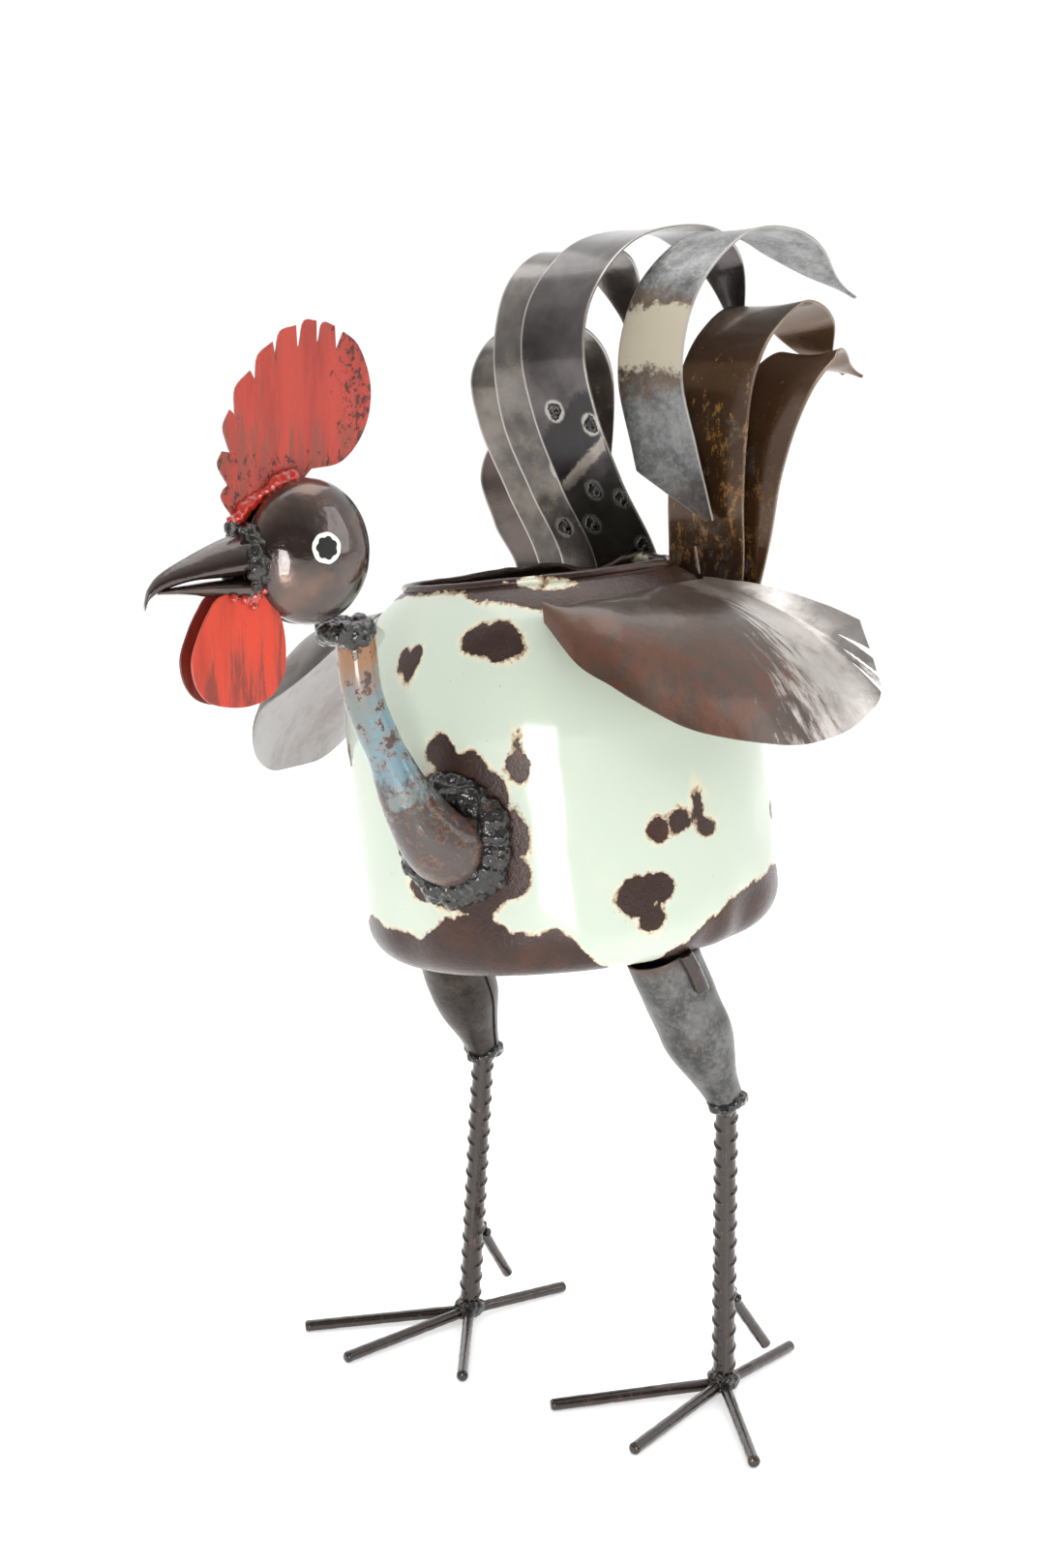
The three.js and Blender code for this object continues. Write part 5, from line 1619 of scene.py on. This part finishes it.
def build_toes(name, settings):
    foot = foot_of(name)
    for toe, angle in TOES[name].items():
        way = Vector((math.sin(math.radians(angle)), -math.cos(math.radians(angle)), 0))
        length = BACK_TOE_LENGTH if toe == "back" else TOE_LENGTH
        start = foot + way * HUB_RADIUS * 0.8 + Vector((0, 0, TOE_RADIUS + 1.5 * MM))
        end = foot + way * length + Vector((0, 0, TOE_RADIUS))
        build_rod(f"Toe_{toe}_{name}", start, end, TOE_RADIUS, f"toe_{toe}_{name}", settings)


def build_spur(name, settings):
    foot, knee = foot_of(name), knee_of(name)
    root = foot.lerp(knee, SPUR_UP / KNEE_HEIGHT)
    start = root + Vector((0, REBAR_RADIUS + TOE_RADIUS * 0.6, 0))
    end = root + Vector((SIDES[name] * 4 * MM, SPUR_BACK, -SPUR_DROP))
    build_rod(f"Spur_{name}", start, end, TOE_RADIUS, f"spur_{name}", settings)
    tacks = [ball(start + mm(3 * math.sin(i * 2), 1, 3.4 * math.cos(i * 2)), 2.5 * MM) for i in range(5)]
    tack = lumps(f"Spur_weld_{name}", tacks, voxel=0.6 * MM, pitting=0.4 * MM, seed=18.0)
    return place_on_bird(tack, weld_metal(settings), "weld")


# ---------------------------------------------------------------- stage
EYE_PLACE = mm(713.9, -968.3, 484)  # the camera, in the bird's own frame
EYE_HEADING = math.radians(37.84)
EYE_DOWN = math.radians(7.1)


def add_camera(settings):
    camera = bpy.data.cameras.new("Camera")
    camera.lens = settings.lens
    camera.sensor_width = 36.0
    camera.clip_end = 50.0
    holder = bpy.data.objects.new("Camera", camera)
    holder.location = BIRD @ EYE_PLACE
    holder.rotation_euler = Euler((math.pi / 2 - EYE_DOWN, 0, EYE_HEADING))
    bpy.context.scene.collection.objects.link(holder)
    bpy.context.scene.camera = holder


# Name, bearing from the camera's side and elevation in degrees, then distance, width and height.
SOFTBOXES = [
    ("Key_softbox", -8, -5.5, 1.3, 0.36, 0.52),
    ("Side_softbox", 70, 25, 2.2, 0.8, 1.4),
    ("Top_softbox", 180, 80, 2.2, 2.0, 2.0),
]


def add_softbox(name, azimuth, elevation, distance, width, height, power):
    """A rectangular lamp aimed at the pot, placed by bearing from the camera's side of the bird."""
    target = BIRD @ mm(0, 0, 330)
    turn = azimuth + EYE_HEADING
    lift = math.radians(elevation)
    way = Vector(
        (math.sin(turn) * math.cos(lift), -math.cos(turn) * math.cos(lift), math.sin(lift))
    )
    lamp = bpy.data.lights.new(name, "AREA")
    lamp.shape = "RECTANGLE"
    lamp.size, lamp.size_y = width, height
    lamp.energy = power
    holder = bpy.data.objects.new(name, lamp)
    holder.location = target + way * distance
    holder.rotation_euler = way.to_track_quat("Z", "Y").to_euler()
    bpy.context.scene.collection.objects.link(holder)


def add_room_light(settings):
    """White surroundings that fall off to grey on the side that the bird is seen from."""
    world = bpy.data.worlds.new("Room")
    bpy.context.scene.world = world
    world.use_nodes = True
    tree = world.node_tree
    background = tree.nodes["Background"]
    place = tree.nodes.new("ShaderNodeTexCoord")
    toward = tree.nodes.new("ShaderNodeVectorMath")
    toward.operation = "DOT_PRODUCT"
    tree.links.new(place.outputs["Generated"], toward.inputs[0])
    toward.inputs[1].default_value = (math.sin(EYE_HEADING), -math.cos(EYE_HEADING), -0.35)
    fall = tree.nodes.new("ShaderNodeMapRange")
    fall.inputs["From Min"].default_value = -0.25
    fall.inputs["From Max"].default_value = 0.75
    fall.inputs["To Min"].default_value = settings.room_light
    fall.inputs["To Max"].default_value = settings.near_light
    tree.links.new(toward.outputs["Value"], fall.inputs["Value"])
    tree.links.new(fall.outputs["Result"], background.inputs["Strength"])
    background.inputs["Color"].default_value = (1.0, 1.0, 1.0, 1.0)


def add_floor(settings):
    half = 6.0
    corners = [(-half, -half, 0), (half, -half, 0), (half, half, 0), (-half, half, 0)]
    floor = make("Floor", corners, [(0, 1, 2, 3)])
    floor.data.materials.append(studio_floor(settings))


def set_view():
    scene = bpy.context.scene
    scene.view_settings.view_transform = "Standard"
    scene.view_settings.look = "None"
    scene.view_settings.exposure = 0.0


# ---------------------------------------------------------------- settings
def color_setting(name, description, color):
    return FloatVectorProperty(
        name=name, description=description, default=color, size=3, min=0.0, max=1.0, subtype="COLOR"
    )


def length_setting(name, description, default):
    return FloatProperty(name=name, description=description, default=default, min=0.0, unit="LENGTH")


def power_setting(name, description, default):
    return FloatProperty(name=name, description=description, default=default, min=0.0, unit="POWER")


def share_setting(name, description, default):
    return FloatProperty(name=name, description=description, default=default, min=0.0, max=3.0)


class ROOSTER_PG_pot(bpy.types.PropertyGroup):
    """Sizes and colours of the enamel pot and the blue spout."""

    enamel: color_setting("Enamel", "Colour of the sound enamel", (0.565, 0.635, 0.53))
    halo: color_setting("Halo", "Cream undercoat round each chip", (0.78, 0.70, 0.50))
    bare: color_setting("Bare steel", "Lacquered steel inside a chip", (0.022, 0.010, 0.007))
    dents: share_setting("Dents", "Depth of the dents as a share of the real ones", 1.0)
    rim_crumple: share_setting("Rim crumple", "How far the beaten rim rises and falls", 1.0)
    sheet: length_setting("Sheet", "Thickness of the tab at the rim", 1.2 * MM)


class ROOSTER_PG_neck(bpy.types.PropertyGroup):
    """Colour of the spout that serves as a neck."""

    enamel: color_setting("Enamel", "Blue of the spout", (0.145, 0.25, 0.295))


class ROOSTER_PG_head(bpy.types.PropertyGroup):
    """Colours of the head, comb, wattles and eyes."""

    steel: color_setting("Steel", "Brown-black of the head and beak", (0.034, 0.022, 0.018))
    comb: color_setting("Comb", "Brushed red of the comb", (0.44, 0.046, 0.028))
    wattle: color_setting("Wattle", "Orange-red of the wattles", (0.58, 0.040, 0.010))
    drip: color_setting("Drips", "Thick wet red at the welds", (0.40, 0.016, 0.005))
    white: color_setting("Eye white", "Paint of the eye rings", (0.88, 0.87, 0.83))


class ROOSTER_PG_sheets(bpy.types.PropertyGroup):
    """Thickness and colours of the wing and tail steel."""

    sheet: length_setting("Sheet", "Thickness of the wings and tail strips", 1.2 * MM)
    scale: color_setting("Scale", "Brown heat scale at a wing's front", (0.050, 0.034, 0.026))
    copper: color_setting("Copper", "Copper heat colour on a wing", (0.13, 0.050, 0.026))
    silver: color_setting("Silver", "Bright brushed steel at a wing's rear", (0.62, 0.58, 0.55))
    light: color_setting("Light grey", "Light clouds on the tail steel", (0.20, 0.18, 0.165))
    dark: color_setting("Dark grey", "Dark clouds on the tail steel", (0.060, 0.050, 0.045))


class ROOSTER_PG_legs(bpy.types.PropertyGroup):
    """Colours of the bars and the weld metal."""

    bar: color_setting("Bar", "Lacquered mill scale of the bars", (0.022, 0.014, 0.010))
    metal: color_setting("Weld", "Black of the weld metal", (0.007, 0.006, 0.005))


class ROOSTER_PG_stage(bpy.types.PropertyGroup):
    """Floor, camera and light."""

    floor: color_setting("Floor", "Colour of the floor", (0.93, 0.93, 0.93))
    lens: FloatProperty(name="Lens", description="Focal length", default=50.0, subtype="DISTANCE_CAMERA")
    room_light: share_setting("Room light", "Brightness of the white surroundings", 1.05)
    near_light: share_setting("Near light", "Brightness on the side that the bird is seen from", 0.10)
    key_power: power_setting("Key", "Power of the softbox behind the camera", 7.0)
    side_power: power_setting("Side", "Power of the softbox on the bird's left", 9.0)
    top_power: power_setting("Top", "Power of the softbox overhead", 20.0)


# ---------------------------------------------------------------- operators
class ROOSTER_OT_stage(bpy.types.Operator):
    """Sets up the floor, camera, softboxes and room light"""

    bl_idname = "rooster.stage"
    bl_label = "Stage"

    def execute(self, context):
        settings = context.scene.rooster_stage
        add_camera(settings)
        add_floor(settings)
        add_room_light(settings)
        powers = (settings.key_power, settings.side_power, settings.top_power)
        for (name, azimuth, *places), power in zip(SOFTBOXES, powers):
            add_softbox(name, math.radians(azimuth), *places, power)
        set_view()
        return {"FINISHED"}


class ROOSTER_OT_pot(bpy.types.Operator):
    """Builds the chipped enamel pot and the tab at its rim"""

    bl_idname = "rooster.pot"
    bl_label = "Pot"

    def execute(self, context):
        settings = context.scene.rooster_pot
        build_pot(settings)
        build_rim_tab(settings)
        return {"FINISHED"}


class ROOSTER_OT_neck(bpy.types.Operator):
    """Builds the blue spout and the weld round its foot"""

    bl_idname = "rooster.neck"
    bl_label = "Neck"

    def execute(self, context):
        build_neck(context.scene.rooster_neck)
        build_neck_root_weld(context.scene.rooster_legs)
        return {"FINISHED"}


class ROOSTER_OT_head(bpy.types.Operator):
    """Builds the head's two discs and the band between them"""

    bl_idname = "rooster.head"
    bl_label = "Head"

    def execute(self, context):
        settings = context.scene.rooster_head
        for name in SIDES:
            build_head_disc(name, settings)
        build_head_band(settings)
        return {"FINISHED"}


class ROOSTER_OT_beak(bpy.types.Operator):
    """Builds the hooked upper beak and the lower beak"""

    bl_idname = "rooster.beak"
    bl_label = "Beak"

    def execute(self, context):
        settings = context.scene.rooster_head
        build_bill("Beak_upper", UPPER_BEAK, "beak_upper", settings, 0.28)
        build_bill("Beak_lower", LOWER_BEAK, "beak_lower", settings, 0.0)
        return {"FINISHED"}


class ROOSTER_OT_comb(bpy.types.Operator):
    """Builds the red comb, the two wattles and the wet paint at their roots"""

    bl_idname = "rooster.comb"
    bl_label = "Comb and wattles"

    def execute(self, context):
        settings = context.scene.rooster_head
        build_comb(settings)
        for name in SIDES:
            build_wattle(name, settings)
        build_paint_drips(settings)
        return {"FINISHED"}


class ROOSTER_OT_eyes(bpy.types.Operator):
    """Builds the white eye rings and black pupils"""

    bl_idname = "rooster.eyes"
    bl_label = "Eyes"

    def execute(self, context):
        for name in SIDES:
            build_eye(name, context.scene.rooster_head)
        return {"FINISHED"}


class ROOSTER_OT_head_welds(bpy.types.Operator):
    """Builds the weld metal at the beak's root and on top of the neck"""

    bl_idname = "rooster.head_welds"
    bl_label = "Head welds"

    def execute(self, context):
        settings = context.scene.rooster_legs
        build_beak_weld(settings)
        build_neck_top_weld(settings)
        return {"FINISHED"}


class ROOSTER_OT_wings(bpy.types.Operator):
    """Builds the two sheet wings"""

    bl_idname = "rooster.wings"
    bl_label = "Wings"

    def execute(self, context):
        for name in SIDES:
            build_wing(name, context.scene.rooster_sheets)
        return {"FINISHED"}


class ROOSTER_OT_tail(bpy.types.Operator):
    """Builds the seven bent tail strips and the welds behind their feet"""

    bl_idname = "rooster.tail"
    bl_label = "Tail"

    def execute(self, context):
        names = list(TAIL_STRIPS)
        for name in names:
            build_tail_strip(name, context.scene.rooster_sheets)
        settings = context.scene.rooster_legs
        for name in PLUGS:
            build_plugs(name, settings)
        build_tail_weld("Tail_root_weld", "tail_root_weld", names[:4], settings)
        build_tail_weld("Tail_side_weld", "tail_side_weld", names[5:], settings)
        return {"FINISHED"}


class ROOSTER_OT_legs(bpy.types.Operator):
    """Builds both legs: thigh, strut, knee weld and ribbed shank"""

    bl_idname = "rooster.legs"
    bl_label = "Legs"

    def execute(self, context):
        settings = context.scene.rooster_legs
        for name in SIDES:
            build_thigh(name, settings)
            build_strut(name, settings)
            build_knee_weld(name, settings)
            build_shank(name, settings)
        return {"FINISHED"}


class ROOSTER_OT_feet(bpy.types.Operator):
    """Builds both feet: the weld, four toes and the spur"""

    bl_idname = "rooster.feet"
    bl_label = "Feet"

    def execute(self, context):
        settings = context.scene.rooster_legs
        for name in SIDES:
            build_foot_weld(name, settings)
            build_toes(name, settings)
            build_spur(name, settings)
        return {"FINISHED"}


STEPS = (
    ROOSTER_OT_stage,
    ROOSTER_OT_pot,
    ROOSTER_OT_neck,
    ROOSTER_OT_head,
    ROOSTER_OT_beak,
    ROOSTER_OT_comb,
    ROOSTER_OT_eyes,
    ROOSTER_OT_head_welds,
    ROOSTER_OT_wings,
    ROOSTER_OT_tail,
    ROOSTER_OT_legs,
    ROOSTER_OT_feet,
)
SETTINGS = {
    "rooster_pot": ROOSTER_PG_pot,
    "rooster_neck": ROOSTER_PG_neck,
    "rooster_head": ROOSTER_PG_head,
    "rooster_sheets": ROOSTER_PG_sheets,
    "rooster_legs": ROOSTER_PG_legs,
    "rooster_stage": ROOSTER_PG_stage,
}


class ROOSTER_PT_panel(bpy.types.Panel):
    """Lists the rooster's pieces and settings"""

    bl_idname = "ROOSTER_PT_panel"
    bl_label = "Scrap Metal Rooster"
    bl_space_type = "VIEW_3D"
    bl_region_type = "UI"
    bl_category = "Rooster"

    def draw(self, context):
        for step in STEPS:
            self.layout.operator(step.bl_idname)
        for group in SETTINGS:
            box = self.layout.box()
            settings = getattr(context.scene, group)
            for key in settings.__annotations__:
                box.prop(settings, key)


def register():
    for kind in (*SETTINGS.values(), *STEPS, ROOSTER_PT_panel):
        bpy.utils.register_class(kind)
    for name, group in SETTINGS.items():
        setattr(bpy.types.Scene, name, PointerProperty(type=group))


def unregister():
    for name in SETTINGS:
        delattr(bpy.types.Scene, name)
    for kind in reversed((*SETTINGS.values(), *STEPS, ROOSTER_PT_panel)):
        bpy.utils.unregister_class(kind)


def main():
    register()
    for step in STEPS:
        group, name = step.bl_idname.split(".")
        getattr(getattr(bpy.ops, group), name)()


if __name__ == "__main__":
    main()
